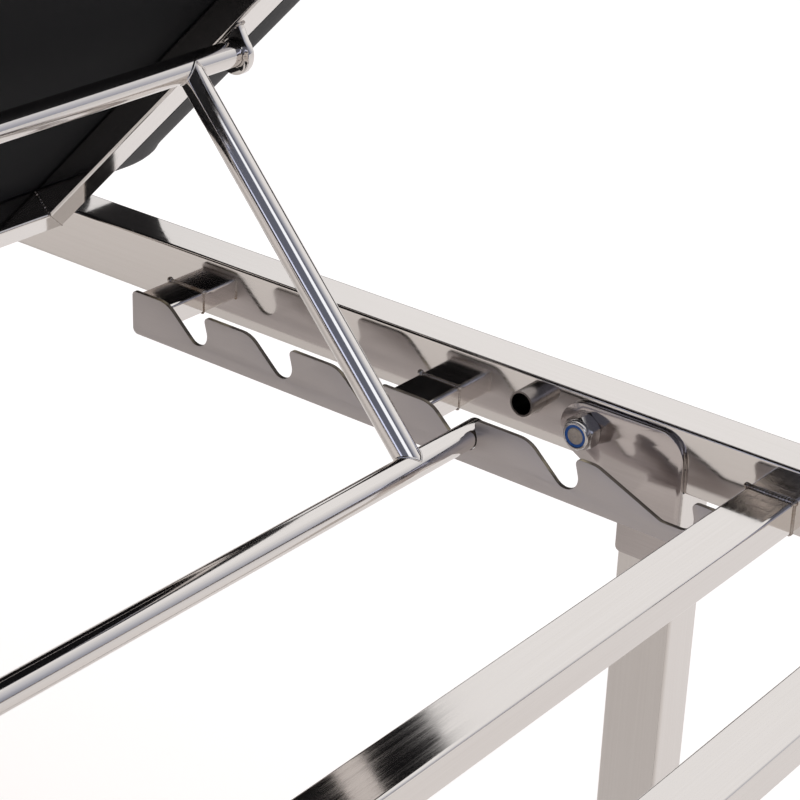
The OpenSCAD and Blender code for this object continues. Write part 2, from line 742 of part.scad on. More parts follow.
seat_pad_len = seat_rail_len + pad_over - seat_pad_gap;
seat_pad_mid = -seat_pad_gap - seat_pad_len / 2;
seat_screw_xs = [for (x = [hinge_cross_x, seat_cross_x, foot_cross_x])
    x + screw_edge - seat_pad_mid];
back_pad_len = ring_start + ring_len + back_pad_over - back_pad_near;
back_pad_mid = back_pad_near + back_pad_len / 2;
screw_from_ring_end = cross_w - screw_edge;
back_screw_xs = [for (x = [screw_from_ring_end, ring_len - screw_from_ring_end])
    ring_start + x - back_pad_mid];

module on_seat() { translate([hinge_x + seat_pad_mid, 0, rail_z + rail_h]) children(); }
module on_ring() { in_backrest() translate([back_pad_mid, 0, hinge_drop]) children(); }

module seat_board() { color(plywood) on_seat() board(seat_pad_len, seat_screw_xs); }
module seat_pad() { color(black) on_seat() pad(seat_pad_len, seat_screw_xs); }
module seat_dust_cover() { color(cloth_black) on_seat() dust_cover(seat_pad_len, seat_screw_xs); }
module seat_screws() { color(steel) on_seat() screws(seat_screw_xs); }
module backrest_board() { color(plywood) on_ring() board(back_pad_len, back_screw_xs); }
module backrest_pad() { color(black) on_ring() pad(back_pad_len, back_screw_xs); }
module backrest_dust_cover() { color(cloth_black) on_ring() dust_cover(back_pad_len, back_screw_xs); }
module backrest_screws() { color(steel) on_ring() screws(back_screw_xs); }

side_rail(1);  // side_rail_left
side_rail(-1);  // side_rail_right
rail_end_caps();
cross_tube(head_cross_x, low_z);  // head_cross_tube
cross_tube(head_end_cross_x, low_z);  // head_end_cross_tube
cross_tube(hinge_cross_x, high_z, true);  // hinge_cross_tube
cross_tube(seat_cross_x, high_z, true);  // seat_cross_tube
cross_tube(foot_cross_x, high_z, true);  // foot_cross_tube
rack(1);  // rack_left
rack(-1);  // rack_right
rack_standoff(1, 0);  // rack_standoff_left_low
rack_standoff(1, 1);  // rack_standoff_left_high
rack_standoff(-1, 0);  // rack_standoff_right_low
rack_standoff(-1, 1);  // rack_standoff_right_high
accessory_socket(1);  // accessory_socket_left
accessory_socket(-1);  // accessory_socket_right
fixed_hinge_lug(1);  // fixed_hinge_lug_left
fixed_hinge_lug(-1);  // fixed_hinge_lug_right
hinge_bolts();
hinge_nuts();
leg_bolts();
leg_washers();
leg_nuts();
nylon_rings();
seat_board();
seat_pad();
seat_dust_cover();
seat_screws();
ring_side(1);  // ring_side_left
ring_side(-1);  // ring_side_right
ring_low_end();
ring_head_end();
moving_hinge_lug(1);  // moving_hinge_lug_left
moving_hinge_lug(-1);  // moving_hinge_lug_right
rod_ear(1);  // rod_ear_left
rod_ear(-1);  // rod_ear_right
backrest_board();
backrest_pad();
backrest_dust_cover();
backrest_screws();
prop_rod();
prop_rod_plugs();
prop_strut(1);  // prop_strut_left
prop_strut(-1);  // prop_strut_right
prop_bar();
prop_bar_plugs();
leg(1, 1);  // head_leg_left
leg(1, -1);  // head_leg_right
leg_bracket(1, 1);  // head_bracket_left
leg_bracket(1, -1);  // head_bracket_right
stretcher(1);  // head_stretcher
leg_feet(1);  // head_leg_feet
leg(-1, 1);  // foot_leg_left
leg(-1, -1);  // foot_leg_right
leg_bracket(-1, 1);  // foot_bracket_left
leg_bracket(-1, -1);  // foot_bracket_right
stretcher(-1);  // foot_stretcher
leg_feet(-1);  // foot_leg_feet
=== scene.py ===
"""Looks of a folding treatment table: mirror-polished stainless tube, satin rack plates, black pads.

Metres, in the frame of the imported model: X runs to the head end, Y across, Z up from the floor.
"""
import json
import math

import bmesh
import bpy
from mathutils import Matrix, Vector, noise


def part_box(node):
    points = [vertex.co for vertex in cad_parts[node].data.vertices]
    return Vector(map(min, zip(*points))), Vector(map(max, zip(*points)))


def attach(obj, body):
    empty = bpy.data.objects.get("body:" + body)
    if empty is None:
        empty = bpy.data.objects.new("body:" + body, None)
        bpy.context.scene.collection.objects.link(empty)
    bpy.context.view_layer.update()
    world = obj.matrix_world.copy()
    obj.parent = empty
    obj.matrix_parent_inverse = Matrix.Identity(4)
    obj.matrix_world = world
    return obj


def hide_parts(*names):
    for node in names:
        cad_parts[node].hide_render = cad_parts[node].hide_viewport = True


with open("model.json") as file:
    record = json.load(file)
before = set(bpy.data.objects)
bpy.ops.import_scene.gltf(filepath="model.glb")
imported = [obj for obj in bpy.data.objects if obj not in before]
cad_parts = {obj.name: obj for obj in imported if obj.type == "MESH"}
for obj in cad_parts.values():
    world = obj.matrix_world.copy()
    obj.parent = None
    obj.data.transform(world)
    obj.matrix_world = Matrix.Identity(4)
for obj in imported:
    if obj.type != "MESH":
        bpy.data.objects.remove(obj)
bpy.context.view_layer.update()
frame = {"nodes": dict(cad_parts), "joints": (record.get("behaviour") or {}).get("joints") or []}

MM = 0.001
SIDES = {"left": 1, "right": -1}
CROSS_TUBES = ("head_cross_tube", "head_end_cross_tube", "hinge_cross_tube", "seat_cross_tube",
               "foot_cross_tube")

# Places that the frame gives
rail_low, rail_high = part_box("side_rail_left")
rail_in = rail_low.y
joints = {j["name"]: Vector(j["pos_m"]) for j in frame["joints"]}
hinge = joints["backrest_tilt"]
rod = joints["prop_swing"]
bar_low, bar_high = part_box("prop_bar")
bar = (bar_low + bar_high) / 2
prop_r = (bar_high.z - bar_low.z) / 2

# The photograph's viewpoint
CAMERA_PLACE = (1.27729, -0.72895, 1.16056)
CAMERA_RIGHT = (0.78041, 0.62442, 0.03263)
CAMERA_UP = (-0.29804, 0.32561, 0.89730)
CAMERA_FORWARD = (-0.54967, 0.70999, -0.44021)
CAMERA_LENS = 101.73


def linked(name, data):
    """A new object in the scene."""
    piece = bpy.data.objects.new(name, data)
    bpy.context.scene.collection.objects.link(piece)
    return piece


def add_camera():
    data = bpy.data.cameras.new("camera")
    data.lens, data.sensor_width = CAMERA_LENS, 36
    data.clip_start, data.clip_end = 0.05, 50
    camera = linked("camera", data)
    back = -Vector(CAMERA_FORWARD)
    camera.matrix_world = Matrix.Translation(CAMERA_PLACE) @ Matrix(
        (CAMERA_RIGHT, CAMERA_UP, back)).transposed().to_4x4()
    bpy.context.scene.camera = camera


add_camera()
bpy.context.scene.view_settings.view_transform = "Standard"


# Node helpers
def linear(code):
    """Linear colour of an sRGB hex code."""
    channels = [int(code[i:i + 2], 16) / 255 for i in (0, 2, 4)]
    return tuple(c / 12.92 if c <= 0.04045 else ((c + 0.055) / 1.055) ** 2.4 for c in channels) + (1,)


def add(tree, kind, inputs=None, **settings):
    """Adds a node with its settings. Each input is a value, an sRGB hex code, another node or one of its
    outputs."""
    new = tree.nodes.new("ShaderNode" + kind)
    for key, value in settings.items():
        setattr(new, key, value)
    for key, value in (inputs or {}).items():
        if isinstance(value, str):
            value = linear(value)
        elif isinstance(value, bpy.types.Node):
            value = next(output for output in value.outputs if output.enabled)
        if isinstance(value, bpy.types.NodeSocket):
            tree.links.new(value, new.inputs[key])
        else:
            new.inputs[key].default_value = value
    return new


def new_material(name):
    material = bpy.data.materials.new(name)
    material.use_nodes = True
    material.node_tree.nodes.clear()
    return material, material.node_tree


def placed(tree, scale, rotation=(0, 0, 0)):
    """Object coordinates, turned and then stretched by scale: one number or three, in waves per metre."""
    scale = scale if isinstance(scale, tuple) else (scale,) * 3
    here = add(tree, "TexCoord").outputs["Object"]
    turned = add(tree, "Mapping", {"Vector": here, "Rotation": rotation})
    return add(tree, "Mapping", {"Vector": turned, "Scale": scale})


def close(tree, **sockets):
    """Ends a material in a Principled shader with these sockets."""
    names = {key.replace("_", " "): value for key, value in sockets.items()}
    shader = add(tree, "BsdfPrincipled", names)
    add(tree, "OutputMaterial", {"Surface": shader})


# Studio
WORLD_LEVEL = 0.60
LAMPS = (("key softbox", (-0.6, 1.3, 3.1), 30, (2.6, 1.4)), ("fill softbox", (2.4, -2.2, 2.2), 7, (1.6, 1.2)))
LAMP_AIM = (0.3, 0, 0.5)
FLOOR_COLOUR = "D9D4D1"
FLOOR_GLOW_SEEN = 0.55
# Glow of the floor in reflections, from -Y to +Y: a painted shade, dimmer near the table where its shadow
# falls
FLOOR_GLOW_MIRRORED = (0.20, 0.32)
ROOM_LEVEL = 0.20
BACKDROP_LEVEL = 0.95
BACKDROP_TOWARDS = (-0.079, 0.903, 0.423)
BACKDROP_FADE = (0.34, 0.866)
WINDOW_TOWARDS = (0.703, -0.242, 0.669)
WINDOW_LEVEL = 1.35
WINDOW_EDGE = (0.972, 0.986)
STRIP_LEVEL = 1.4
FLOOR_RADIUS = 14
# Span along Y of the floor's painted shade and tint
FLOOR_FADE = (-0.6, 1.0)
FLAG_RADIUS = 3.4
FLAGS = (("back flag", (75, 200), (0.65, 1.55)), ("front flag", (200, 345), (0.42, 0.84)))
FLAG_COLOUR = "2A2627"


def seen_share(tree, camera=1.0, mirrored=1.0):
    """One level for what the camera sees, one for what a reflection or a clear material sees, and 0 for
    what lights the object."""
    path = add(tree, "LightPath")
    through = add(tree, "Math", {0: path.outputs["Is Glossy Ray"], 1: path.outputs["Is Transmission Ray"]},
                  operation="MAXIMUM")
    mirror = add(tree, "Math", {0: through, 1: mirrored}, operation="MULTIPLY")
    straight = add(tree, "Math", {0: path.outputs["Is Camera Ray"], 1: camera}, operation="MULTIPLY")
    return add(tree, "Math", {0: mirror, 1: straight}, operation="MAXIMUM")


def room(tree):
    """What polished metal shows of the room: a dim room, a white backdrop behind the table, a strip light
    low down in front of it, and a window."""
    towards = add(tree, "TexCoord").outputs["Generated"]
    axes = add(tree, "SeparateXYZ", {0: towards})
    backdrop = add(tree, "VectorMath", {0: towards, 1: BACKDROP_TOWARDS}, operation="DOT_PRODUCT")
    outer, inner = BACKDROP_FADE
    white = add(tree, "MapRange", {0: backdrop, 1: outer, 2: inner, 3: ROOM_LEVEL, 4: BACKDROP_LEVEL})
    in_front = add(tree, "MapRange", {0: axes.outputs[1], 1: -0.5, 2: -0.7})
    above = add(tree, "MapRange", {0: axes.outputs[2], 1: 0.07, 2: 0.09})
    below = add(tree, "MapRange", {0: axes.outputs[2], 1: 0.19, 2: 0.22, 3: 1, 4: 0})
    between = add(tree, "Math", {0: above, 1: below}, operation="MULTIPLY")
    strip = add(tree, "Math", {0: in_front, 1: between}, operation="MULTIPLY")
    strip_level = add(tree, "Math", {0: strip, 1: STRIP_LEVEL}, operation="MULTIPLY")
    level = add(tree, "Math", {0: white, 1: strip_level}, operation="MAXIMUM")
    share = add(tree, "MapRange", {0: backdrop, 1: outer, 2: 0.8})
    tint = add(tree, "Mix", {0: share, 6: "D6DEFA", 7: "FFFEFE"}, data_type="RGBA")
    walls = add(tree, "Background", {"Color": tint, "Strength": level})
    window = add(tree, "VectorMath", {0: towards, 1: WINDOW_TOWARDS}, operation="DOT_PRODUCT")
    outer, inner = WINDOW_EDGE
    in_window = add(tree, "MapRange", {0: window, 1: outer, 2: inner})
    sky = add(tree, "Background", {"Color": "F2F7FF", "Strength": WINDOW_LEVEL})
    return add(tree, "MixShader", {0: in_window, 1: walls, 2: sky})


def add_world():
    """Even soft light for the object, a white background for the camera, and a room for its reflections."""
    world = bpy.data.worlds.new("studio")
    bpy.context.scene.world = world
    world.use_nodes = True
    tree = world.node_tree
    tree.nodes.clear()
    light = add(tree, "Background", {"Color": "FFFFFF", "Strength": WORLD_LEVEL})
    white = add(tree, "Background", {"Color": "FFFFFF", "Strength": 1})
    in_mirror = add(tree, "MixShader", {0: seen_share(tree, 0, 1), 1: light, 2: room(tree)})
    mix = add(tree, "MixShader", {0: seen_share(tree, 1, 0), 1: in_mirror, 2: white})
    add(tree, "OutputWorld", {"Surface": mix})


def add_lamp(name, place, power, size):
    data = bpy.data.lights.new(name, "AREA")
    data.shape, data.size, data.size_y, data.energy = "RECTANGLE", *size, power
    lamp = linked(name, data)
    lamp.location = place
    lamp.rotation_euler = (Vector(LAMP_AIM) - Vector(place)).to_track_quat("-Z", "Y").to_euler()
    lamp.visible_glossy = False


def deselect():
    bpy.ops.object.select_all(action="DESELECT")


def newest(name):
    """Names the primitive that was just added."""
    piece = bpy.context.object
    piece.name = piece.data.name = name
    return piece


def add_floor():
    deselect()
    bpy.ops.mesh.primitive_circle_add(vertices=64, radius=FLOOR_RADIUS, fill_type="NGON")
    floor = newest("floor")
    material, tree = new_material("matt white floor")
    diffuse = add(tree, "BsdfDiffuse", {"Color": FLOOR_COLOUR})
    # Painted shade: the floor's glow is warmer towards -Y and cooler towards +Y, and in reflections dimmer
    # towards -Y, near the table's shadow.
    along_y = add(tree, "SeparateXYZ", {0: add(tree, "TexCoord").outputs["Object"]}).outputs[1]
    (near, far), (low, high) = FLOOR_FADE, FLOOR_GLOW_MIRRORED
    mirrored = add(tree, "MapRange", {0: along_y, 1: near, 2: far, 3: low, 4: high})
    share = add(tree, "MapRange", {0: along_y, 1: near, 2: far})
    tint = add(tree, "Mix", {0: share, 6: "FFF7F2", 7: "FAFBFF"}, data_type="RGBA")
    light = add(tree, "Emission", {"Color": tint, "Strength": seen_share(tree, FLOOR_GLOW_SEEN, mirrored)})
    both = add(tree, "AddShader", {0: diffuse, 1: light})
    add(tree, "OutputMaterial", {"Surface": both})
    floor.data.materials.append(material)


def add_flags():
    """Low dark screens round the studio, outside every view, that give polished edges their dark lines."""
    material, tree = new_material("black felt screen")
    dark = add(tree, "Emission", {"Color": FLAG_COLOUR, "Strength": 1})
    add(tree, "OutputMaterial", {"Surface": dark})
    for name, (start, stop), heights in FLAGS:
        bends = [math.radians(a) for a in range(start, stop + 1, 5)]
        rows = [[(FLAG_RADIUS * math.cos(a), FLAG_RADIUS * math.sin(a), z) for a in bends] for z in heights]
        count = len(bends)
        mesh = bpy.data.meshes.new(name)
        faces = [(i, i + 1, count + i + 1, count + i) for i in range(count - 1)]
        mesh.from_pydata(rows[0] + rows[1], [], faces)
        flag = linked(name, mesh)
        mesh.materials.append(material)
        flag.visible_camera = flag.visible_diffuse = flag.visible_shadow = False


add_world()
for lamp in LAMPS:
    add_lamp(*lamp)
add_floor()
add_flags()


# Materials
def wave_scale(along_mm, across_mm, axis):
    """Waves per metre of a pattern that is drawn out along one axis."""
    return tuple(1000 / (along_mm if i == "XYZ".index(axis) else across_mm) for i in range(3))


def polished_stainless(name, axis, tilt=0):
    """304 stainless tube, ground and buffed to a mirror: sharp reflections that waver a little, with
    faint buffing lines along the tube. The real lines are finer than can show; these are 1.3 mm wide."""
    material, tree = new_material(name)
    turn = (0, tilt, 0)
    lines = add(tree, "TexNoise", {"Vector": placed(tree, wave_scale(160, 1.3, axis), turn),
                                   "Scale": 1, "Detail": 3, "Roughness": 0.6})
    smears = add(tree, "TexNoise", {"Vector": placed(tree, wave_scale(120, 35, axis), turn),
                                    "Scale": 1, "Detail": 2})
    waves = add(tree, "TexNoise", {"Vector": placed(tree, wave_scale(140, 60, axis), turn),
                                   "Scale": 1, "Detail": 1})
    rough = add(tree, "MapRange", {0: lines, 1: 0.3, 2: 0.75, 3: 0.035, 4: 0.11})
    rougher = add(tree, "MapRange", {0: smears, 1: 0.4, 2: 0.7, 3: 0.0, 4: 0.05})
    total = add(tree, "Math", {0: rough, 1: rougher})
    colour = add(tree, "Mix", {0: lines, 6: "E0DBD7", 7: "E9E5E2"}, data_type="RGBA")
    wavy = add(tree, "Bump", {"Height": waves, "Distance": 0.08 * MM, "Strength": 1})
    bump = add(tree, "Bump", {"Height": lines, "Distance": 0.0012 * MM, "Strength": 1, "Normal": wavy})
    close(tree, Base_Color=colour, Metallic=1, Roughness=total, Normal=bump)
    return material


def cut_edge(tree, start, stop):
    """1 on the cut edges of an upright plate along X, and 0 on its faces."""
    across = add(tree, "SeparateXYZ", {0: add(tree, "TexCoord").outputs["Normal"]})
    facing = add(tree, "Math", {0: across.outputs[1]}, operation="ABSOLUTE")
    return add(tree, "MapRange", {0: facing, 1: start, 2: stop, 3: 1, 4: 0})


def satin_plate(name):
    """Laser-cut 304 sheet with its mill finish brushed along the plate: soft grey, fine lines, and cut
    edges left dark by the oxide, with straw-coloured places."""
    material, tree = new_material(name)
    lines = add(tree, "TexNoise", {"Vector": placed(tree, wave_scale(60, 0.9, "X")),
                                   "Scale": 1, "Detail": 4, "Roughness": 0.7})
    blotch = add(tree, "TexNoise", {"Vector": placed(tree, wave_scale(35, 18, "X")),
                                    "Scale": 1, "Detail": 3})
    edge = cut_edge(tree, 0.5, 0.7)
    face = add(tree, "Mix", {0: lines, 6: "BBB5B4", 7: "D6D1D0"}, data_type="RGBA")
    face = add(tree, "Mix", {0: blotch, 6: face, 7: "C3BDBC"}, data_type="RGBA")
    stained = add(tree, "MapRange", {0: blotch, 1: 0.48, 2: 0.62})
    cut = add(tree, "Mix", {0: stained, 6: "6A625B", 7: "C4B89E"}, data_type="RGBA")
    colour = add(tree, "Mix", {0: edge, 6: face, 7: cut}, data_type="RGBA")
    rough = add(tree, "MapRange", {0: lines, 1: 0.3, 2: 0.7, 3: 0.42, 4: 0.54})
    bump = add(tree, "Bump", {"Height": lines, "Distance": 0.006 * MM, "Strength": 1})
    close(tree, Base_Color=colour, Metallic=1, Roughness=rough, Normal=bump)
    return material


def ground_plate(name):
    """Stainless plate ground and polished by hand: clear reflections, and darker cut edges."""
    material, tree = new_material(name)
    lines = add(tree, "TexNoise", {"Vector": placed(tree, wave_scale(50, 1.1, "X")),
                                   "Scale": 1, "Detail": 3, "Roughness": 0.6})
    edge = cut_edge(tree, 0.2, 0.5)
    face = add(tree, "Mix", {0: lines, 6: "BFB7B4", 7: "CCC5C3"}, data_type="RGBA")
    colour = add(tree, "Mix", {0: edge, 6: face, 7: "A09894"}, data_type="RGBA")
    rough = add(tree, "MapRange", {0: lines, 1: 0.3, 2: 0.7, 3: 0.12, 4: 0.17})
    bump = add(tree, "Bump", {"Height": lines, "Distance": 0.003 * MM, "Strength": 1})
    close(tree, Base_Color=colour, Metallic=1, Roughness=rough, Normal=bump)
    return material


def dull_socket(name, x, z, bore_r):
    """Short stainless tube as it came from the saw: dull, with grey-brown scale; its bore is painted nearly
    black, a painted shade for the dark inside of the tube.
    """
    material, tree = new_material(name)
    here = add(tree, "TexCoord").outputs["Object"]
    from_axis = add(tree, "VectorMath", {0: here, 1: (x, 0, z)}, operation="SUBTRACT")
    flat = add(tree, "VectorMath", {0: from_axis, 1: (1, 0, 1)}, operation="MULTIPLY")
    radius = add(tree, "VectorMath", {0: flat}, operation="LENGTH")
    outside = add(tree, "MapRange", {0: radius, 1: bore_r + 0.1 * MM, 2: bore_r + 0.5 * MM})
    scale = add(tree, "TexNoise", {"Vector": placed(tree, (260, 120, 260)), "Scale": 1, "Detail": 3})
    dull = add(tree, "Mix", {0: scale, 6: "7E7672", 7: "A39C98"}, data_type="RGBA")
    # Painted shade: inside the bore the colour is nearly black.
    colour = add(tree, "Mix", {0: outside, 6: "1C1917", 7: dull}, data_type="RGBA")
    close(tree, Base_Color=colour, Metallic=1, Roughness=0.32)
    return material


def sheared_end(name):
    """End of a bolt, sheared and left matt: grey-brown, with the marks of the tool."""
    material, tree = new_material(name)
    marks = add(tree, "TexNoise", {"Vector": placed(tree, 500), "Scale": 1, "Detail": 4})
    colour = add(tree, "Mix", {0: marks, 6: "958B84", 7: "CBC2BA"}, data_type="RGBA")
    bump = add(tree, "Bump", {"Height": marks, "Distance": 0.05 * MM, "Strength": 0.6})
    close(tree, Base_Color=colour, Metallic=0.5, Roughness=0.45, Normal=bump)
    return material


def bright_fastener(name):
    """Turned and tumbled stainless: bright, with fine rings round the part."""
    material, tree = new_material(name)
    grain = add(tree, "TexNoise", {"Vector": placed(tree, (900, 2500, 900)), "Scale": 1, "Detail": 2})
    rough = add(tree, "MapRange", {0: grain, 1: 0.3, 2: 0.7, 3: 0.12, 4: 0.22})
    colour = add(tree, "Mix", {0: grain, 6: "BDB9B7", 7: "D9D6D4"}, data_type="RGBA")
    bump = add(tree, "Bump", {"Height": grain, "Distance": 0.01 * MM, "Strength": 0.6})
    close(tree, Base_Color=colour, Metallic=1, Roughness=rough, Normal=bump)
    return material


def weld_metal(name):
    """TIG weld left as it cooled: bright ripples, straw and brown heat tint in the corners."""
    material, tree = new_material(name)
    tint = add(tree, "TexNoise", {"Vector": placed(tree, 90), "Scale": 1, "Detail": 3})
    grain = add(tree, "TexNoise", {"Vector": placed(tree, 1600), "Scale": 1, "Detail": 2})
    share = add(tree, "MapRange", {0: tint, 1: 0.45, 2: 0.68})
    colour = add(tree, "Mix", {0: share, 6: "B9B3AE", 7: "7C6650"}, data_type="RGBA")
    bump = add(tree, "Bump", {"Height": grain, "Distance": 0.03 * MM, "Strength": 0.7})
    close(tree, Base_Color=colour, Metallic=1, Roughness=0.2, Normal=bump)
    return material


def blue_nylon(name):
    """Moulded nylon 66 insert, dyed blue: slightly waxy."""
    material, tree = new_material(name)
    grain = add(tree, "TexNoise", {"Vector": placed(tree, 1500), "Scale": 1})
    colour = add(tree, "Mix", {0: grain, 6: "17458C", 7: "2A68BC"}, data_type="RGBA")
    close(tree, Base_Color=colour, Roughness=0.3)
    return material


def moulded_black(name, code, rough, grain_mm):
    """Moulded black plastic or rubber with a fine spark-eroded grain."""
    material, tree = new_material(name)
    size = 1000 / grain_mm
    grain = add(tree, "TexNoise", {"Vector": placed(tree, size), "Scale": 1, "Detail": 2})
    colour = add(tree, "Mix", {0: grain, 6: code, 7: "2B2B2D"}, data_type="RGBA")
    bump = add(tree, "Bump", {"Height": grain, "Distance": 0.05 * MM, "Strength": 0.5})
    close(tree, Base_Color=colour, Roughness=rough, Normal=bump)
    return material


def pebbled_leatherette(name):
    """PVC-coated knit with an embossed pebble grain: deep grey-black, with soft broad highlights. The
    real grain is about 1.2 mm; here it is 1.8 mm, so that it shows."""
    material, tree = new_material(name)
    here = placed(tree, 1000 / 1.8)
    pebbles = add(tree, "TexVoronoi", {"Vector": here, "Scale": 1, "Randomness": 0.9},
                  feature="SMOOTH_F1")
    use = add(tree, "TexNoise", {"Vector": placed(tree, 12), "Scale": 1, "Detail": 3})
    colour = add(tree, "Mix", {0: pebbles, 6: "1E1E21", 7: "131316"}, data_type="RGBA")
    colour = add(tree, "Mix", {0: use, 6: colour, 7: "18181C"}, data_type="RGBA")
    rough = add(tree, "MapRange", {0: use, 1: 0.3, 2: 0.7, 3: 0.46, 4: 0.56})
    bump = add(tree, "Bump", {"Height": pebbles, "Distance": 0.12 * MM, "Strength": 0.8}, invert=True)
    close(tree, Base_Color=colour, Roughness=rough, Specular_IOR_Level=0.18, Normal=bump)
    return material


def spunbond(name):
    """Black spun-bonded polypropylene under a seat: matt, with its fine grid of bonding dimples."""
    material, tree = new_material(name)
    dimples = add(tree, "TexVoronoi", {"Vector": placed(tree, 1000 / 1.5), "Scale": 1,
                                       "Randomness": 0.15})
    threads = add(tree, "TexNoise", {"Vector": placed(tree, 900), "Scale": 1, "Detail": 4,
                                     "Roughness": 0.75})
    colour = add(tree, "Mix", {0: threads, 6: "0B0B0D", 7: "17181C"}, data_type="RGBA")
    bump = add(tree, "Bump", {"Height": dimples, "Distance": 0.12 * MM, "Strength": 0.8})
    fibre = add(tree, "Bump", {"Height": threads, "Distance": 0.06 * MM, "Strength": 0.8, "Normal": bump})
    close(tree, Base_Color=colour, Roughness=0.9, Specular_IOR_Level=0.2, Normal=fibre)
    return material


def birch_plywood(name):
    """Birch plywood, sawn: pale faces with long grain, and plies of 1.4 mm, dark and light, on its edges."""
    material, tree = new_material(name)
    grain = add(tree, "TexNoise", {"Vector": placed(tree, (4, 160, 160)), "Scale": 1, "Detail": 4,
                                   "Distortion": 0.4})
    plies = add(tree, "TexWave", {"Vector": placed(tree, (0, 0, 1000 / 2.8)), "Scale": 0.5},
                bands_direction="Z")
    face = add(tree, "Mix", {0: grain, 6: "C9A878", 7: "E2C79A"}, data_type="RGBA")
    colour = add(tree, "Mix", {0: plies, 6: face, 7: "B08A5C"}, data_type="RGBA")
    close(tree, Base_Color=colour, Roughness=0.7)
    return material


back_angle = math.radians(45.04)
steel_x = polished_stainless("mirror-polished stainless along X", "X")
steel_y = polished_stainless("mirror-polished stainless along Y", "Y")
steel_z = polished_stainless("mirror-polished stainless along Z", "Z")
steel_ring = polished_stainless("mirror-polished stainless along the ring", "X", back_angle)
satin = satin_plate("brushed stainless sheet with cut edges")
ground = ground_plate("ground stainless plate")
socket_low, socket_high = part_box("accessory_socket_left")
SOCKET_BORE_R = 6.5 * MM
socket_steel = dull_socket("sawn stainless tube", (socket_low.x + socket_high.x) / 2,
                           (socket_low.z + socket_high.z) / 2, SOCKET_BORE_R)
sheared = sheared_end("sheared bolt end")
bright = bright_fastener("tumbled stainless fasteners")
weld = weld_metal("TIG weld with heat tint")
nylon = blue_nylon("blue nylon")
plastic = moulded_black("black polypropylene", "18181A", 0.45, 0.8)
rubber = moulded_black("black rubber", "141414", 0.6, 1.2)
leatherette = pebbled_leatherette("black PVC leatherette")
dust_cloth = spunbond("black spun-bonded non-woven")
plywood = birch_plywood("birch plywood")


def dress(material, *names):
    for name in names:
        node = frame["nodes"][name]
        node.data.materials.clear()
        node.data.materials.append(material)


def pair(name):
    return [f"{name}_{side}" for side in SIDES]


dress(steel_x, *pair("side_rail"))
dress(steel_y, *CROSS_TUBES, "head_stretcher", "foot_stretcher", "prop_rod", "prop_bar",
      "prop_rod_plugs", "prop_bar_plugs", "ring_low_end", "ring_head_end",
      *(f"rack_standoff_{side}_{place}" for side in SIDES for place in ("low", "high")))
dress(steel_z, *pair("head_leg"), *pair("foot_leg"), *pair("fixed_hinge_lug"))
dress(ground, *pair("head_bracket"), *pair("foot_bracket"))
dress(steel_ring, *pair("ring_side"), *pair("prop_strut"), *pair("moving_hinge_lug"), *pair("rod_ear"))
dress(satin, *pair("rack"))
dress(socket_steel, *pair("accessory_socket"))
dress(bright, "hinge_bolts", "hinge_nuts", "leg_bolts", "leg_washers", "leg_nuts", "seat_screws",
      "backrest_screws")
dress(nylon, "nylon_rings")
dress(plastic, "rail_end_caps")
dress(leatherette, "seat_pad", "backrest_pad")
dress(dust_cloth, "seat_dust_cover", "backrest_dust_cover")
dress(plywood, "seat_board", "backrest_board")
dress(rubber, "head_leg_feet", "foot_leg_feet")


# Making pieces
def activate(*pieces):
    deselect()
    for piece in pieces:
        piece.select_set(True)
    bpy.context.view_layer.objects.active = pieces[0]


def opened(piece, action="SELECT"):
    """Opens the piece for editing, with all of it selected, or nothing for DESELECT."""
    activate(piece)
    bpy.ops.object.mode_set(mode="EDIT")
    bpy.ops.mesh.select_all(action=action)


def placed_in_mesh(piece):
    """Moves the piece's place and turn into its mesh."""
    activate(piece)
    bpy.ops.object.transform_apply(location=True, rotation=True, scale=True)


def modified(piece, kind, **settings):
    """Adds one modifier and applies it."""
    activate(piece)
    modifier = piece.modifiers.new(kind.title(), kind)
    for key, value in settings.items():
        setattr(modifier, key, value)
    bpy.ops.object.modifier_apply(modifier=modifier.name)
    return piece


def smooth(piece, degrees=35):
    activate(piece)
    bpy.ops.object.shade_smooth_by_angle(angle=math.radians(degrees))
    return piece


def copied(piece, name, matrix=Matrix()):
    """Copy with a mesh of its own, moved by matrix."""
    copy = linked(name, piece.data.copy())
    copy.data.name = name
    copy.data.transform(matrix)
    return copy


def joined(name, pieces):
    activate(*pieces)
    if len(pieces) > 1:
        bpy.ops.object.join()
    piece = bpy.context.object
    piece.name = piece.data.name = name
    return piece


def removed(*pieces):
    for piece in pieces:
        bpy.data.objects.remove(piece, do_unlink=True)


def with_tool(piece, tool, operation):
    """Boolean of the piece with a tool, which is then thrown away."""
    modified(piece, "BOOLEAN", object=tool, operation=operation, solver="EXACT")
    removed(tool)
    return piece


def fitted(piece, body, material, slot, *nodes):
    """Finishes a piece: material, body and the CAD nodes that it stands for. The slot argument is not used.
    """
    piece.data.materials.clear()
    piece.data.materials.append(material)
    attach(piece, body)
    if nodes:
        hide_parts(*nodes)


def node_copy(node, name):
    """The CAD node's shape as a clean mesh of flat faces, ready for a bevel."""
    piece = copied(frame["nodes"][node], name)
    opened(piece)
    bpy.ops.mesh.remove_doubles(threshold=0.002 * MM)
    bpy.ops.mesh.dissolve_limited(angle_limit=math.radians(0.5))
    bpy.ops.object.mode_set(mode="OBJECT")
    return piece


def eased(node, width, segments=2):
    """A copy of a CAD plate whose sharp edges are eased by width."""
    piece = node_copy(node, f"{node}_eased")
    modified(piece, "BEVEL", width=width, segments=segments, limit_method="ANGLE",
             angle_limit=math.radians(40), harden_normals=False)
    return smooth(piece, 30)


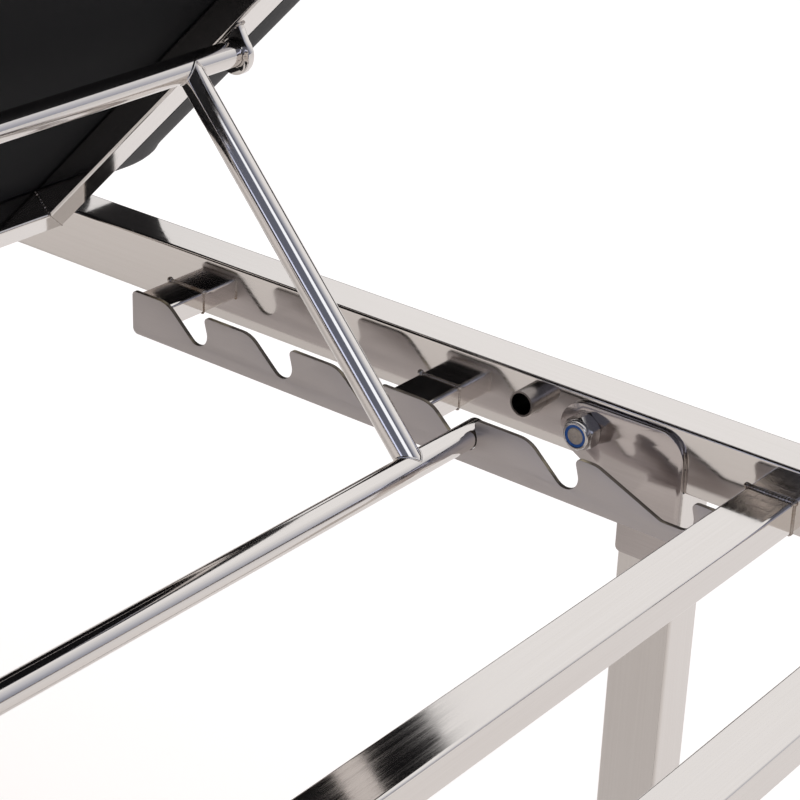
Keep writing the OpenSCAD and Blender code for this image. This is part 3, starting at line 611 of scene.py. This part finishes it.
def block(name, size, place=(0, 0, 0), turn=0):
    """Box of this size round its place, turned about Z."""
    deselect()
    bpy.ops.mesh.primitive_cube_add(size=1, location=place, rotation=(0, 0, turn))
    piece = newest(name)
    piece.scale = size
    placed_in_mesh(piece)
    return piece


def rod_y(radius, y0, y1, vertices=48):
    """Round bar along Y."""
    deselect()
    bpy.ops.mesh.primitive_cylinder_add(vertices=vertices, radius=radius, depth=y1 - y0,
                                        location=(0, (y0 + y1) / 2, 0), rotation=(math.pi / 2, 0, 0))
    piece = newest("rod")
    placed_in_mesh(piece)
    return piece


def end_edges_eased(piece, y, width):
    """Bevels the rim at height y of a bar along Y."""
    opened(piece, "DESELECT")
    mesh = bmesh.from_edit_mesh(piece.data)
    for edge in mesh.edges:
        if all(abs(v.co.y - y) < 1e-6 for v in edge.verts):
            edge.select = True
    bmesh.update_edit_mesh(piece.data)
    bpy.ops.mesh.bevel(offset=width, segments=1, profile=0.5)
    bpy.ops.object.mode_set(mode="OBJECT")


def turned_profile(name, points):
    """A part turned on a lathe: a profile of (radius, y) spun round the Y axis."""
    mesh = bpy.data.meshes.new(name)
    mesh.from_pydata([(r, y, 0) for r, y in points], [(i, i + 1) for i in range(len(points) - 1)], [])
    piece = linked(name, mesh)
    opened(piece)
    bpy.ops.mesh.spin(steps=48, angle=2 * math.pi, center=(0, 0, 0), axis=(0, 1, 0))
    bpy.ops.mesh.select_all(action="SELECT")
    bpy.ops.mesh.remove_doubles(threshold=0.001 * MM)
    bpy.ops.mesh.normals_make_consistent(inside=False)
    bpy.ops.object.mode_set(mode="OBJECT")
    return smooth(piece, 35)


# Fasteners. Each is made for the left side, pointing to the table's middle, with its seat at y = 0. Shares
# are of the bolt's radius, and the collar's and the cone's of the nut's width.
NUT_HIGH = 1.52
COLLAR_HIGH = 0.48
NUT_TURN = math.radians(6)
NYLON_WIDE = 0.08
BOLT_POINT = 0.84
COLLAR_SHARE = 0.46
CONE_SHARE = 0.592
WASHER_THICK = 1.6 * MM
BOLT_END = 1.2 * MM
to_middle = {"left": Matrix.Identity(4), "right": Matrix.Rotation(math.pi, 4, "Z")}


def hexagon(across, y0, y1, ease):
    """Hexagon with the corners of both ends turned off to a cone."""
    piece = rod_y(across / 2 / math.cos(math.pi / 6), y0, y1, 6)
    cone = rod_y(across * CONE_SHARE, y0, y1, 72)
    for y in (y0, y1):
        end_edges_eased(cone, y, ease)
    return with_tool(piece, cone, "INTERSECT")


def locking_nut(bolt_r, across):
    """Hexagon nut with a rolled-over collar, bored for the bolt and for the nylon ring in the collar."""
    shoulder = -NUT_HIGH * bolt_r
    nut = hexagon(across, shoulder, 0, 1.5 * MM)
    nut.data.transform(Matrix.Rotation(NUT_TURN, 4, "Y"))
    top = shoulder - COLLAR_HIGH * bolt_r
    nylon_r = 2 * bolt_r * (0.5 + NYLON_WIDE)
    collar_r = across * COLLAR_SHARE
    collar = turned_profile("collar", [
        (bolt_r, shoulder + 1 * MM), (nylon_r, shoulder + 1 * MM), (nylon_r, top + 0.6 * MM),
        (nylon_r + 0.1 * MM, top + 0.15 * MM), (nylon_r + 0.35 * MM, top),
        (collar_r - 1.0 * MM, top), (collar_r - 0.45 * MM, top + 0.2 * MM),
        (collar_r - 0.12 * MM, top + 0.65 * MM), (collar_r, top + 1.2 * MM),
        (collar_r, shoulder + 1 * MM), (collar_r, shoulder + 1.4 * MM), (bolt_r, shoulder + 1.4 * MM),
        (bolt_r, shoulder + 1 * MM)])
    bore = rod_y(bolt_r, shoulder - 1 * MM, 1 * MM)
    nut = with_tool(nut, bore, "DIFFERENCE")
    return smooth(joined("nut", [nut, collar]), 30)


def nylon_insert(bolt_r):
    top = -(NUT_HIGH + COLLAR_HIGH) * bolt_r
    r = 2 * bolt_r * (0.5 + NYLON_WIDE)
    return turned_profile("insert", [
        (bolt_r, top + 1.9 * MM), (bolt_r, top + 1.4 * MM), (bolt_r * BOLT_POINT + 0.1 * MM, top + 0.6 * MM),
        (bolt_r * BOLT_POINT + 0.35 * MM, top + 0.3 * MM), (r - 0.25 * MM, top + 0.25 * MM),
        (r, top + 0.5 * MM), (r, top + 1.9 * MM), (bolt_r, top + 1.9 * MM)])


def hexagon_bolt(bolt_r, across, head_high, head_y, end_y):
    """Bolt whose head seats at head_y, with its shank as far as the sheared end at end_y."""
    head = hexagon(across, head_y, head_y + head_high, 1.2 * MM)
    shank = rod_y(bolt_r - 0.05 * MM, end_y + BOLT_END, head_y + 0.5 * MM)
    return smooth(joined("bolt", [head, shank]), 30)


def bolt_end(bolt_r, end_y):
    """Last turn of a bolt: its sheared face, with the dimple that the lathe's centre left, and its point."""
    point = bolt_r * BOLT_POINT
    return turned_profile("end", [
        (0, end_y + 0.55 * MM), (0.4 * MM, end_y + 0.45 * MM), (0.9 * MM, end_y + 0.1 * MM),
        (point - 0.2 * MM, end_y + 0.1 * MM), (point, end_y + 0.3 * MM),
        (bolt_r - 0.1 * MM, end_y + BOLT_END), (bolt_r - 0.1 * MM, end_y + BOLT_END + 0.5 * MM)])


def plain_washer(bolt_r, radius, thick):
    ease = 0.25 * MM
    return turned_profile("washer", [
        (bolt_r, ease), (bolt_r + ease, 0), (radius - ease, 0), (radius, ease), (radius, thick - ease),
        (radius - ease, thick), (bolt_r + ease, thick), (bolt_r, thick - ease), (bolt_r, ease)])


def on_both_sides(name, part, pivots, y):
    """Copies of a left-side part on each pivot: at y on the left side, and turned round on the right."""
    copies = []
    for side in SIDES:
        for pivot in pivots:
            where = Matrix.Translation((pivot.x, SIDES[side] * y, pivot.z)) @ to_middle[side]
            copies.append(copied(part, name, where))
    removed(part)
    return joined(name, copies)


LEG_BOLT_R, WASHER_R = 6 * MM, 12 * MM
leg_pivots = [joints["head_leg_fold"], joints["foot_leg_fold"]]
leg_seats = (rail_high.y + WASHER_THICK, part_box("leg_nuts")[1].y)
hinge_seats = (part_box("fixed_hinge_lug_left")[1].y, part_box("hinge_nuts")[1].y)
# For each kind its radius, width across flats, head's height, the head's and the nut's seats, and the pivots
BOLTS = {"leg": (LEG_BOLT_R, 19 * MM, 7.68 * MM, *leg_seats, leg_pivots),
         "hinge": (4 * MM, 13 * MM, 5.28 * MM, *hinge_seats, [hinge])}


def add_fasteners():
    ends, rings = [], []
    for kind, (bolt_r, across, _, _, nut_y, pivots) in BOLTS.items():
        nuts = on_both_sides(f"{kind}_nuts_turned", locking_nut(bolt_r, across), pivots, nut_y)
        fitted(nuts, "frame", bright, "zinc_hardware", f"{kind}_nuts")
    for kind, (bolt_r, across, head_high, head_y, nut_y, pivots) in BOLTS.items():
        end_y = -(NUT_HIGH + COLLAR_HIGH) * bolt_r
        bolt = hexagon_bolt(bolt_r, across, head_high, head_y - nut_y, end_y)
        bolts = on_both_sides(f"{kind}_bolts_turned", bolt, pivots, nut_y)
        fitted(bolts, "frame", bright, "zinc_hardware", f"{kind}_bolts")
        ends.append(on_both_sides(f"{kind}_ends", bolt_end(bolt_r, end_y), pivots, nut_y))
        rings.append(on_both_sides(f"{kind}_rings", nylon_insert(bolt_r), pivots, nut_y))
    fitted(joined("bolt_ends", ends), "frame", sheared, "zinc_hardware")
    washers = on_both_sides("leg_washers_turned", plain_washer(LEG_BOLT_R, WASHER_R, WASHER_THICK),
                            leg_pivots, rail_high.y)
    fitted(washers, "frame", bright, "zinc_hardware", "leg_washers")
    fitted(joined("nylon_rings_moulded", rings), "frame", nylon, "blue_nylon", "nylon_rings")


add_fasteners()


# Welds
def bead(name, points, radius, ripple=2.0 * MM, closed=False, depth=0.18):
    """One weld bead along the points: a round cord whose radius rises and falls once per ripple."""
    ends = points + points[:1] if closed else points
    line = []
    for a, b in zip(ends, ends[1:]):
        steps = max(1, round((Vector(b) - Vector(a)).length / (ripple / 4)))
        line += [Vector(a).lerp(Vector(b), i / steps) for i in range(steps)]
    if not closed:
        line.append(Vector(ends[-1]))
    curve = bpy.data.curves.new(name, "CURVE")
    curve.dimensions, curve.bevel_depth, curve.bevel_resolution = "3D", 1, 2
    curve.use_fill_caps = True
    spline = curve.splines.new("POLY")
    spline.points.add(len(line) - 1)
    spline.use_cyclic_u = closed
    run = 0
    for i, (point, place) in enumerate(zip(spline.points, line)):
        run += (place - line[i - 1]).length if i else 0
        wander = noise.noise(place * 400) * 0.16
        swell = 1 + wander + depth * abs(math.sin(math.pi * run / ripple)) - depth / 2
        taper = 1 if closed else min(1, 0.55 + min(i, len(line) - 1 - i) * 0.25)
        point.co = (*place, 1)
        point.radius = radius * swell * taper
    piece = linked(name, curve)
    activate(piece)
    bpy.ops.object.convert(target="MESH")
    return bpy.context.object


def blob(place, radius):
    """Start or stop of a weld: a small drop of metal."""
    deselect()
    bpy.ops.mesh.primitive_ico_sphere_add(subdivisions=3, radius=radius, location=place)
    piece = newest("blob")
    for vertex in piece.data.vertices:
        vertex.co *= 1 + 0.12 * noise.noise((vertex.co + Vector(place)) * 900)
    placed_in_mesh(piece)
    return piece


def rim(low, high, y, inset=0.0):
    """Four corners of a box's section at y, in the XZ plane."""
    x0, x1, z0, z1 = low.x - inset, high.x + inset, low.z - inset, high.z + inset
    return [(x0, y, z0), (x1, y, z0), (x1, y, z1), (x0, y, z1)]


def saddle(centre, axis, y, radius):
    """Line on which a tube along axis meets a round bar of the same radius along Y."""
    across = axis.cross(Vector((0, 1, 0))).normalized()
    points = []
    for k in range(48):
        t = 2 * math.pi * k / 48
        along = Vector((0, radius * math.cos(t), 0)) + across * radius * math.sin(t)
        points.append(tuple(centre + Vector((0, y, 0)) + axis * radius * abs(math.cos(t)) + along))
    return points


def circle_y(x, y, z, radius):
    """Points of an upright ring round the Y axis."""
    turns = [2 * math.pi * k / 32 for k in range(32)]
    return [(x + radius * math.cos(t), y, z + radius * math.sin(t)) for t in turns]


def end_welds(corners, top, upright, under, ripple=2.0 * MM):
    """Beads of these radii along the four edges of a tube's end."""
    return [bead("top", [corners[3], corners[2]], top, ripple),
            bead("near", [corners[0], corners[3]], upright),
            bead("far", [corners[2], corners[1]], upright),
            bead("under", [corners[1], corners[0]], under)]


def cross_tube_welds(node, side):
    """Bead round a cross tube where it meets the rail: heavy on top, with a drop at each top corner."""
    low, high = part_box(node)
    corners = rim(low, high, high.y if side > 0 else low.y)
    beads = end_welds(corners, 1.7 * MM, 1.0 * MM, 1.2 * MM)
    return beads + [blob(corners[k], 2.0 * MM) for k in (2, 3)]


def standoff_welds(side_name, place):
    """Beads of a stand-off at the rail, with drops at the top corners, and fine ones at the rack."""
    low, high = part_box(f"rack_standoff_{side_name}_{place}")
    at_rail, at_rack = (high.y, low.y) if SIDES[side_name] > 0 else (low.y, high.y)
    corners = rim(low, high, at_rail)
    beads = end_welds(corners, 1.15 * MM, 0.6 * MM, 0.9 * MM, 1.8 * MM)
    beads += [blob(corners[2], 1.7 * MM), blob(corners[3], 2.1 * MM)]
    return beads + [bead("rack", rim(low, high, at_rack, -0.3 * MM), 0.7 * MM, 1.6 * MM, closed=True)]


def add_frame_welds():
    beads = []
    for name, side in SIDES.items():
        for node in CROSS_TUBES:
            beads += cross_tube_welds(node, side)
        low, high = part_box(f"accessory_socket_{name}")
        middle = (low + high) / 2
        beads.append(bead("socket", circle_y(middle.x, side * rail_high.y, middle.z, (high.z - low.z) / 2),
                          0.75 * MM, closed=True))
        low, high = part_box(f"fixed_hinge_lug_{name}")
        for y in (low.y, high.y):
            beads.append(bead("lug", [(low.x, y, low.z + 1 * MM), (low.x, y, high.z)], 1.2 * MM))
    for name in SIDES:
        for place in ("low", "high"):
            beads += standoff_welds(name, place)
        low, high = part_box(f"rack_{name}")
        for y in (low.y, high.y):
            ends = [(high.x, y, low.z + 2 * MM), (high.x, y, high.z - 0.5 * MM)]
            beads.append(bead("tail", ends, 0.9 * MM))
    fitted(smooth(joined("frame_welds", beads), 60), "frame", weld, "polished_steel")


def add_prop_welds():
    axis = Vector((bar.x - rod.x, 0, bar.z - rod.z)).normalized()
    strut_y = (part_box("prop_strut_left")[0].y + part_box("prop_strut_left")[1].y) / 2
    beads = []
    for side in SIDES.values():
        for name, end, towards in (("at bar", bar, -axis), ("at rod", rod, axis)):
            line = saddle(Vector((end.x, 0, end.z)), towards, side * strut_y, prop_r)
            beads.append(bead(name, line, 0.8 * MM, 2.4 * MM, True, 0.03))
    fitted(smooth(joined("prop_welds", beads), 60), "prop", steel_y, "polished_steel")


in_ring = Matrix.Translation(hinge) @ Matrix.Rotation(-back_angle, 4, "Y")
to_ring = in_ring.inverted()


def ring_box(node):
    """Corners of a backrest node in the ring's own frame."""
    points = [to_ring @ v.co for v in frame["nodes"][node].data.vertices]
    return (Vector(map(min, zip(*points))), Vector(map(max, zip(*points))))


# For each pad its body, the frame in which it lies flat, and what gives a node's corners in that frame
PADS = (("seat", "frame", Matrix.Identity(4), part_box), ("backrest", "backrest", in_ring, ring_box))


def add_backrest_welds():
    """Ground-flush mitres of the ring, and the beads of its lugs and ears."""
    beads = []
    end_low, end_high = ring_box("ring_low_end")
    far_high = ring_box("ring_head_end")[1]
    wide = end_high.x - end_low.x
    for name, side in SIDES.items():
        for x_out, x_in in ((end_low.x, end_low.x + wide), (far_high.x, far_high.x - wide)):
            outer, inner = (x_out, side * end_high.y), (x_in, side * (end_high.y - wide))
            for z in (end_low.z, end_high.z):
                inset = 0.42 * MM if z == end_low.z else -0.42 * MM
                beads.append(bead("mitre", [(*outer, z + inset), (*inner, z + inset)], 0.6 * MM, 1.6 * MM))
            beads.append(bead("corner", [(*inner, end_low.z), (*inner, end_high.z)], 0.9 * MM))
        low, high = ring_box(f"moving_hinge_lug_{name}")
        for y in (low.y, high.y):
            beads.append(bead("lug", [(high.x, y, low.z + 4 * MM), (high.x, y, high.z - 1 * MM)], 1.1 * MM))
        low, high = ring_box(f"rod_ear_{name}")
        beads.append(bead("ear", [(low.x, low.y, high.z), (high.x, low.y, high.z), (high.x, high.y, high.z),
                                  (low.x, high.y, high.z)], 1.1 * MM, closed=True))
    piece = joined("backrest_welds", beads)
    piece.data.transform(in_ring)
    fitted(smooth(piece, 60), "backrest", weld, "polished_steel")


def add_leg_welds(end):
    beads = []
    for name in SIDES:
        low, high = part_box(f"{end}_leg_{name}")
        plate_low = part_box(f"{end}_bracket_{name}")[0]
        inner = low.y if SIDES[name] > 0 else high.y
        for x in (low.x + 1 * MM, high.x - 1 * MM):
            ends = [(x, inner, plate_low.z + 4 * MM), (x, inner, high.z - 1 * MM)]
            beads.append(bead("edge", ends, 1.0 * MM))
        ends = [(low.x + 3 * MM, inner, plate_low.z), (high.x - 3 * MM, inner, plate_low.z)]
        beads.append(bead("foot", ends, 1.1 * MM))
        low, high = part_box(f"{end}_stretcher")
        y = high.y if SIDES[name] > 0 else low.y
        beads.append(bead("stretcher", rim(low, high, y), 1.1 * MM, closed=True))
    fitted(smooth(joined(f"{end}_leg_welds", beads), 60), f"{end}_legs", weld, "polished_steel")


add_frame_welds()
add_prop_welds()
add_backrest_welds()
for leg_end in ("head", "foot"):
    add_leg_welds(leg_end)


# Plates and small parts
def add_eased_plates():
    """Plates with their cut edges eased: racks a little, brackets and lugs more, as they are ground."""
    for name in SIDES:
        fitted(eased(f"rack_{name}", 0.35 * MM), "frame", satin, "satin_plate", f"rack_{name}")
        for end in ("head", "foot"):
            node = f"{end}_bracket_{name}"
            fitted(eased(node, 0.3 * MM), f"{end}_legs", ground, "polished_steel", node)
        for node, body in ((f"fixed_hinge_lug_{name}", "frame"), (f"moving_hinge_lug_{name}", "backrest"),
                           (f"rod_ear_{name}", "backrest")):
            fitted(eased(node, 0.6 * MM), body, steel_ring, "polished_steel", node)


def domed_plug(radius, flange, y0, over):
    """Pressed plug: a thin flange on the tube's end and a low dome."""
    return turned_profile("plug", [
        (0, y0 - 8 * MM), (radius - 1.7 * MM, y0 - 8 * MM), (radius - 1.7 * MM, y0), (flange - 0.25 * MM, y0),
        (flange, y0 + 0.2 * MM), (flange - 0.05 * MM, y0 + 0.45 * MM), (flange * 0.93, y0 + over * 0.75),
        (flange * 0.80, y0 + over * 0.92), (flange * 0.5, y0 + over * 0.99), (0, y0 + over)])


def add_plugs():
    for node, tube, x, z in (("prop_bar_plugs", "prop_bar", bar.x, bar.z),
                             ("prop_rod_plugs", "prop_rod", rod.x, rod.z)):
        y0, y1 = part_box(tube)[1].y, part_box(node)[1].y
        flange = (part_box(node)[1].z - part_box(node)[0].z) / 2
        plug = domed_plug(prop_r, flange, y0, y1 - y0)
        turn = Matrix.Rotation(math.pi, 4, "Z")
        both = [copied(plug, "plug", Matrix.Translation((x, 0, z)) @ m) for m in (Matrix.Identity(4), turn)]
        removed(plug)
        fitted(joined(f"{node}_domed", both), "prop", steel_y, "polished_steel", node)


def pan_screw(radius, high):
    """Pan head of a wood screw with a cross recess, its seat at z = 0 and its head below."""
    deselect()
    bpy.ops.mesh.primitive_uv_sphere_add(segments=32, ring_count=16, radius=1)
    head = newest("head")
    head.scale = (radius, radius, high)
    placed_in_mesh(head)
    opened(head)
    bpy.ops.mesh.bisect(plane_co=(0, 0, -0.01 * MM), plane_no=(0, 0, 1), use_fill=True, clear_outer=True)
    bpy.ops.object.mode_set(mode="OBJECT")
    for vertex in head.data.vertices:
        vertex.co.z *= 1 if vertex.co.z > -high * 0.55 else 0.9
    for turn in (0, math.pi / 2):
        slot = block("slot", (radius * 0.95, radius * 0.17, high * 1.1), (0, 0, -high), turn)
        with_tool(head, slot, "DIFFERENCE")
    return smooth(head, 40)


SCREW_HEAD_R, SCREW_HEAD_HIGH = 6 * MM, 3.3 * MM
BOARD_EDGE = 3.5 * MM
RIB_HEIGHTS = (2.6 * MM, 5.0 * MM, 7.4 * MM)


def screw_places(node, to_local):
    """Middle of each screw of a node, in the pad's frame, and the height of its head's seat."""
    points = [to_local @ v.co for v in frame["nodes"][node].data.vertices]
    seat = min(p.z for p in points) + SCREW_HEAD_HIGH
    found = []
    for p in points:
        if p.z < seat - 1 * MM:
            near = [f for f in found if (f[0] - p).xy.length < 4 * SCREW_HEAD_R]
            if near:
                near[0].append(p)
            else:
                found.append([p])
    return [Vector((sum(p.x for p in f) / len(f), sum(p.y for p in f) / len(f), seat)) for f in found]


def add_screws():
    head = pan_screw(SCREW_HEAD_R, SCREW_HEAD_HIGH)
    for pad, body, matrix, _ in PADS:
        node = f"{pad}_screws"
        heads = [copied(head, "head", matrix @ Matrix.Translation(place))
                 for place in screw_places(node, matrix.inverted())]
        fitted(joined(f"{node}_pan_heads", heads), body, bright, "zinc_hardware", node)
    removed(head)


def add_boards():
    """Plywood boards with their edges routed round, so that the cover lies smooth over them."""
    for pad, body, matrix, box in PADS:
        node = f"{pad}_board"
        low, high = box(node)
        board = block(f"{node}_routed", high - low, (low + high) / 2)
        modified(board, "BEVEL", width=BOARD_EDGE, segments=3, limit_method="NONE")
        smooth(board, 40)
        board.data.transform(matrix)
        fitted(board, body, plywood, "plywood", node)


def add_caps_and_feet():
    caps = eased("rail_end_caps", 0.5 * MM, 3)
    fitted(caps, "frame", plastic, "black_plastic", "rail_end_caps")
    for end in ("head", "foot"):
        node = f"{end}_leg_feet"
        feet = eased(node, 0.6 * MM, 3)
        ribs = []
        for name in SIDES:
            leg_low, leg_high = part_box(f"{end}_leg_{name}")
            for z in RIB_HEIGHTS:
                x0, x1, y0, y1 = leg_low.x, leg_high.x, leg_low.y, leg_high.y
                ribs.append(bead("rib", [(x0 + 1 * MM, y0, z), (x1 - 1 * MM, y0, z), (x1, y0 + 1 * MM, z),
                                         (x1, y1 - 1 * MM, z), (x1 - 1 * MM, y1, z), (x0 + 1 * MM, y1, z),
                                         (x0, y1 - 1 * MM, z), (x0, y0 + 1 * MM, z)],
                                 0.55 * MM, 8 * MM, True, 0))
        piece = smooth(joined(f"{node}_ribbed", [feet, *ribs]), 40)
        fitted(piece, f"{end}_legs", rubber, "rubber", node)


add_eased_plates()
add_plugs()
add_screws()
add_boards()
add_caps_and_feet()


# Pads. Each is made lying flat round the origin, its underside at z = 0, and then put in its place.
PAD_EDGE_R = 19 * MM
PAD_CORNER_SHARE = 0.4
PAD_FOLD = 3.5 * MM
PAD_FOLD_AT = (28 * MM, 8 * MM)
PAD_LIFT = 0.4 * MM
PAD_CROWN = 4 * MM
PAD_SIDE_PULL = 1 * MM
PAD_VOXEL = 8.5 * MM
PAD_PRESSURE = 4
PAD_SWELL = 4.5 * MM
PAD_FRAMES = 20
PAD_HELD = 7 * MM


def pad_block(name, length, width, thick):
    """Foam block in its cover: a slab with broad round edges and tighter corners, sides pulled in."""
    piece = block(name, (length, width, thick), (0, 0, PAD_LIFT + thick / 2))
    weights = piece.data.attributes.new("bevel_weight_edge", "FLOAT", "EDGE")
    for edge in piece.data.edges:
        a, b = (piece.data.vertices[i].co for i in edge.vertices)
        weights.data[edge.index].value = PAD_CORNER_SHARE if abs(a.z - b.z) > thick / 2 else 1
    modified(piece, "BEVEL", width=PAD_EDGE_R, segments=6, limit_method="WEIGHT")
    modified(piece, "REMESH", mode="VOXEL", voxel_size=PAD_VOXEL)
    for vertex in piece.data.vertices:
        x, y = vertex.co.x / (length / 2), vertex.co.y / (width / 2)
        vertex.co.x *= 1 - PAD_SIDE_PULL / (length / 2) * (1 - y * y)
        vertex.co.y *= 1 - PAD_SIDE_PULL / (width / 2) * (1 - x * x)
    return piece


def swollen(piece):
    """The cover blown tight by its foam: cloth under pressure, held at its underside, with a soft limit."""
    before = [v.co.copy() for v in piece.data.vertices]
    held = piece.vertex_groups.new(name="held")
    held.add([v.index for v in piece.data.vertices if v.co.z < PAD_LIFT + PAD_HELD], 1, "REPLACE")
    activate(piece)
    cloth = piece.modifiers.new("Cloth", "CLOTH")
    cloth.settings.use_pressure = True
    cloth.settings.uniform_pressure_force = PAD_PRESSURE
    cloth.settings.effector_weights.gravity = 0
    cloth.settings.vertex_group_mass = "held"
    cloth.point_cache.frame_start, cloth.point_cache.frame_end = 1, PAD_FRAMES
    for step in range(1, PAD_FRAMES + 1):
        bpy.context.scene.frame_set(step)
    activate(piece)
    bpy.ops.object.modifier_apply(modifier=cloth.name)
    piece.vertex_groups.clear()
    bpy.context.scene.frame_set(1)
    for vertex, start in zip(piece.data.vertices, before):
        moved = vertex.co - start
        if moved.length > 0:
            vertex.co = start + moved * PAD_SWELL * math.tanh(moved.length / PAD_SWELL) / moved.length


def handled(piece, length, thick):
    """Slow dents of foam and use over the top, soft upright puckers where the cover is pulled under, and
    the folded cover's thickness beside each corner."""
    normals = [v.normal.copy() for v in piece.data.vertices]
    for vertex, normal in zip(piece.data.vertices, normals):
        p = vertex.co
        share = p.z / thick
        dents = noise.noise(Vector((p.x * 6, p.y * 6, 3.1))) * 0.9 * MM * max(0, normal.z)
        side = 1 - abs(normal.z)
        along = p.x * abs(normal.y) + p.y * abs(normal.x)
        puckers = noise.noise(Vector((along * 26, share * 1.5, 7.7))) * 0.7 * MM * side * (1 - share)
        from_fold = (length / 2 - abs(p.x) - PAD_FOLD_AT[0]) / PAD_FOLD_AT[1]
        fold = PAD_FOLD * math.exp(-from_fold ** 2) * abs(normal.y) * max(0, 1 - share * 1.4)
        vertex.co = p + normal * (dents + puckers + fold)
        vertex.co.z = max(vertex.co.z, PAD_LIFT)


def add_pad(pad, body, matrix, box):
    """A pad in the space of its CAD node."""
    low, high = box(f"{pad}_pad")
    length, width = high.x - low.x, high.y - low.y
    thick = high.z - low.z - PAD_CROWN
    piece = pad_block(f"{pad}_cushion", length, width, thick)
    swollen(piece)
    modified(piece, "SUBSURF", levels=1, render_levels=1)
    handled(piece, length, thick)
    smooth(piece, 180)
    piece.data.transform(matrix @ Matrix.Translation(((low.x + high.x) / 2, 0, low.z)))
    fitted(piece, body, leatherette, "leatherette", f"{pad}_pad")


# Dust covers
COVER_CLOTH = 0.35 * MM
COVER_SAG = 1.3 * MM
COVER_MORE = 3 * MM
COVER_FREE = 45 * MM
COVER_GRID = 9 * MM
COVER_RESTS = {"seat": ["side_rail_left", "side_rail_right", "seat_cross_tube", "foot_cross_tube"],
               "backrest": ["ring_side_left", "ring_side_right", "ring_low_end", "ring_head_end"]}


def away(value, low, high):
    """0 between low and high, rising to 1 at COVER_FREE from them."""
    gap = max(low - value, value - high, 0) / COVER_FREE
    return min(1, gap) ** 2 * (3 - 2 * min(1, gap))


def add_dust_cover(pad, body, matrix, box):
    """Non-woven cloth stapled under a board: flat on what it rests on and sagging a little between."""
    low, high = box(f"{pad}_dust_cover")
    supports = [box(node) for node in COVER_RESTS[pad]]
    length, width = high.x - low.x + 2 * COVER_MORE, high.y - low.y + 2 * COVER_MORE
    deselect()
    bpy.ops.mesh.primitive_grid_add(x_subdivisions=round(length / COVER_GRID),
                                    y_subdivisions=round(width / COVER_GRID), size=1,
                                    location=((low.x + high.x) / 2, 0, low.z + 0.5 * MM))
    piece = newest(f"{pad}_dust_cloth")
    piece.scale = (length, width, 1)
    placed_in_mesh(piece)
    edges = ((low.x - COVER_MORE, high.x + COVER_MORE, 0), (low.y - COVER_MORE, high.y + COVER_MORE, 1))
    for vertex in piece.data.vertices:
        p = vertex.co
        free = 1
        for start, stop, axis in edges:
            free *= min(1, min(p[axis] - start, stop - p[axis]) / COVER_FREE) if free > 0 else 0
        for near, far in supports:
            free *= max(away(p.x, near.x, far.x), away(p.y, near.y, far.y))
        wrinkle = noise.noise(Vector((p.x * 9, p.y * 9, 5.5))) * 0.4
        p.z -= COVER_SAG * max(0, free) * (1 + wrinkle)
    modified(piece, "SOLIDIFY", thickness=COVER_CLOTH, offset=0)
    smooth(piece, 40)
    piece.data.transform(matrix)
    fitted(piece, body, dust_cloth, "dust_cloth", f"{pad}_dust_cover")


def staple():
    """Crown of an upholstery staple, 10 mm of flat wire with its bends."""
    piece = block("staple", (10 * MM, 1.1 * MM, 0.5 * MM))
    modified(piece, "BEVEL", width=0.24 * MM, segments=2, limit_method="NONE")
    return smooth(piece, 30)


STAPLE_PITCH = 50 * MM
STAPLE_INSET = 4 * MM
STAPLE_CLEAR = 6 * MM
STAPLE_CORNER = 110 * MM


def add_staples(pad, body, matrix, box, covered):
    """Staples round the edge of a dust cover, except where a tube covers the line, from the middle."""
    part = staple()
    low, high = box(f"{pad}_dust_cover")
    z, inset = low.z + 0.1 * MM, STAPLE_INSET
    x0, x1, y0, y1 = low.x + inset, high.x - inset, low.y + inset, high.y - inset
    pieces = []
    lines = ((x0, x1, y0, "x"), (x0, x1, y1, "x"), (y0, y1, x0, "y"), (y0, y1, x1, "y"))
    for start, stop, fixed, along in lines:
        count = round((stop - start) / STAPLE_PITCH)
        for i in range(count):
            astray = noise.noise(Vector((i * 3.7, fixed * 40, 1))) * 5 * MM
            run = start + (i + 0.5) * (stop - start) / count + astray
            if along == "y" and covered[0] - STAPLE_CLEAR < abs(run) < covered[1] + STAPLE_CLEAR:
                continue
            tilt = noise.noise(Vector((i * 5.1, fixed * 70, 9))) * 0.3
            turn = Matrix.Rotation(tilt + (math.pi / 2 if along == "y" else 0), 4, "Z")
            place = (run, fixed, z) if along == "x" else (fixed, run, z)
            pieces.append(copied(part, "staple", matrix @ Matrix.Translation(place) @ turn))
    removed(part)
    fitted(joined(f"{pad}_staples", pieces), body, bright, "zinc_hardware")


for pad in PADS:
    add_pad(*pad)
for pad in PADS:
    add_dust_cover(*pad)
ring_in, ring_out = (corner.y for corner in ring_box("ring_side_left"))
for pad, covered in zip(PADS, ((rail_in, rail_high.y), (ring_in - STAPLE_CORNER, ring_out))):
    add_staples(*pad, covered)
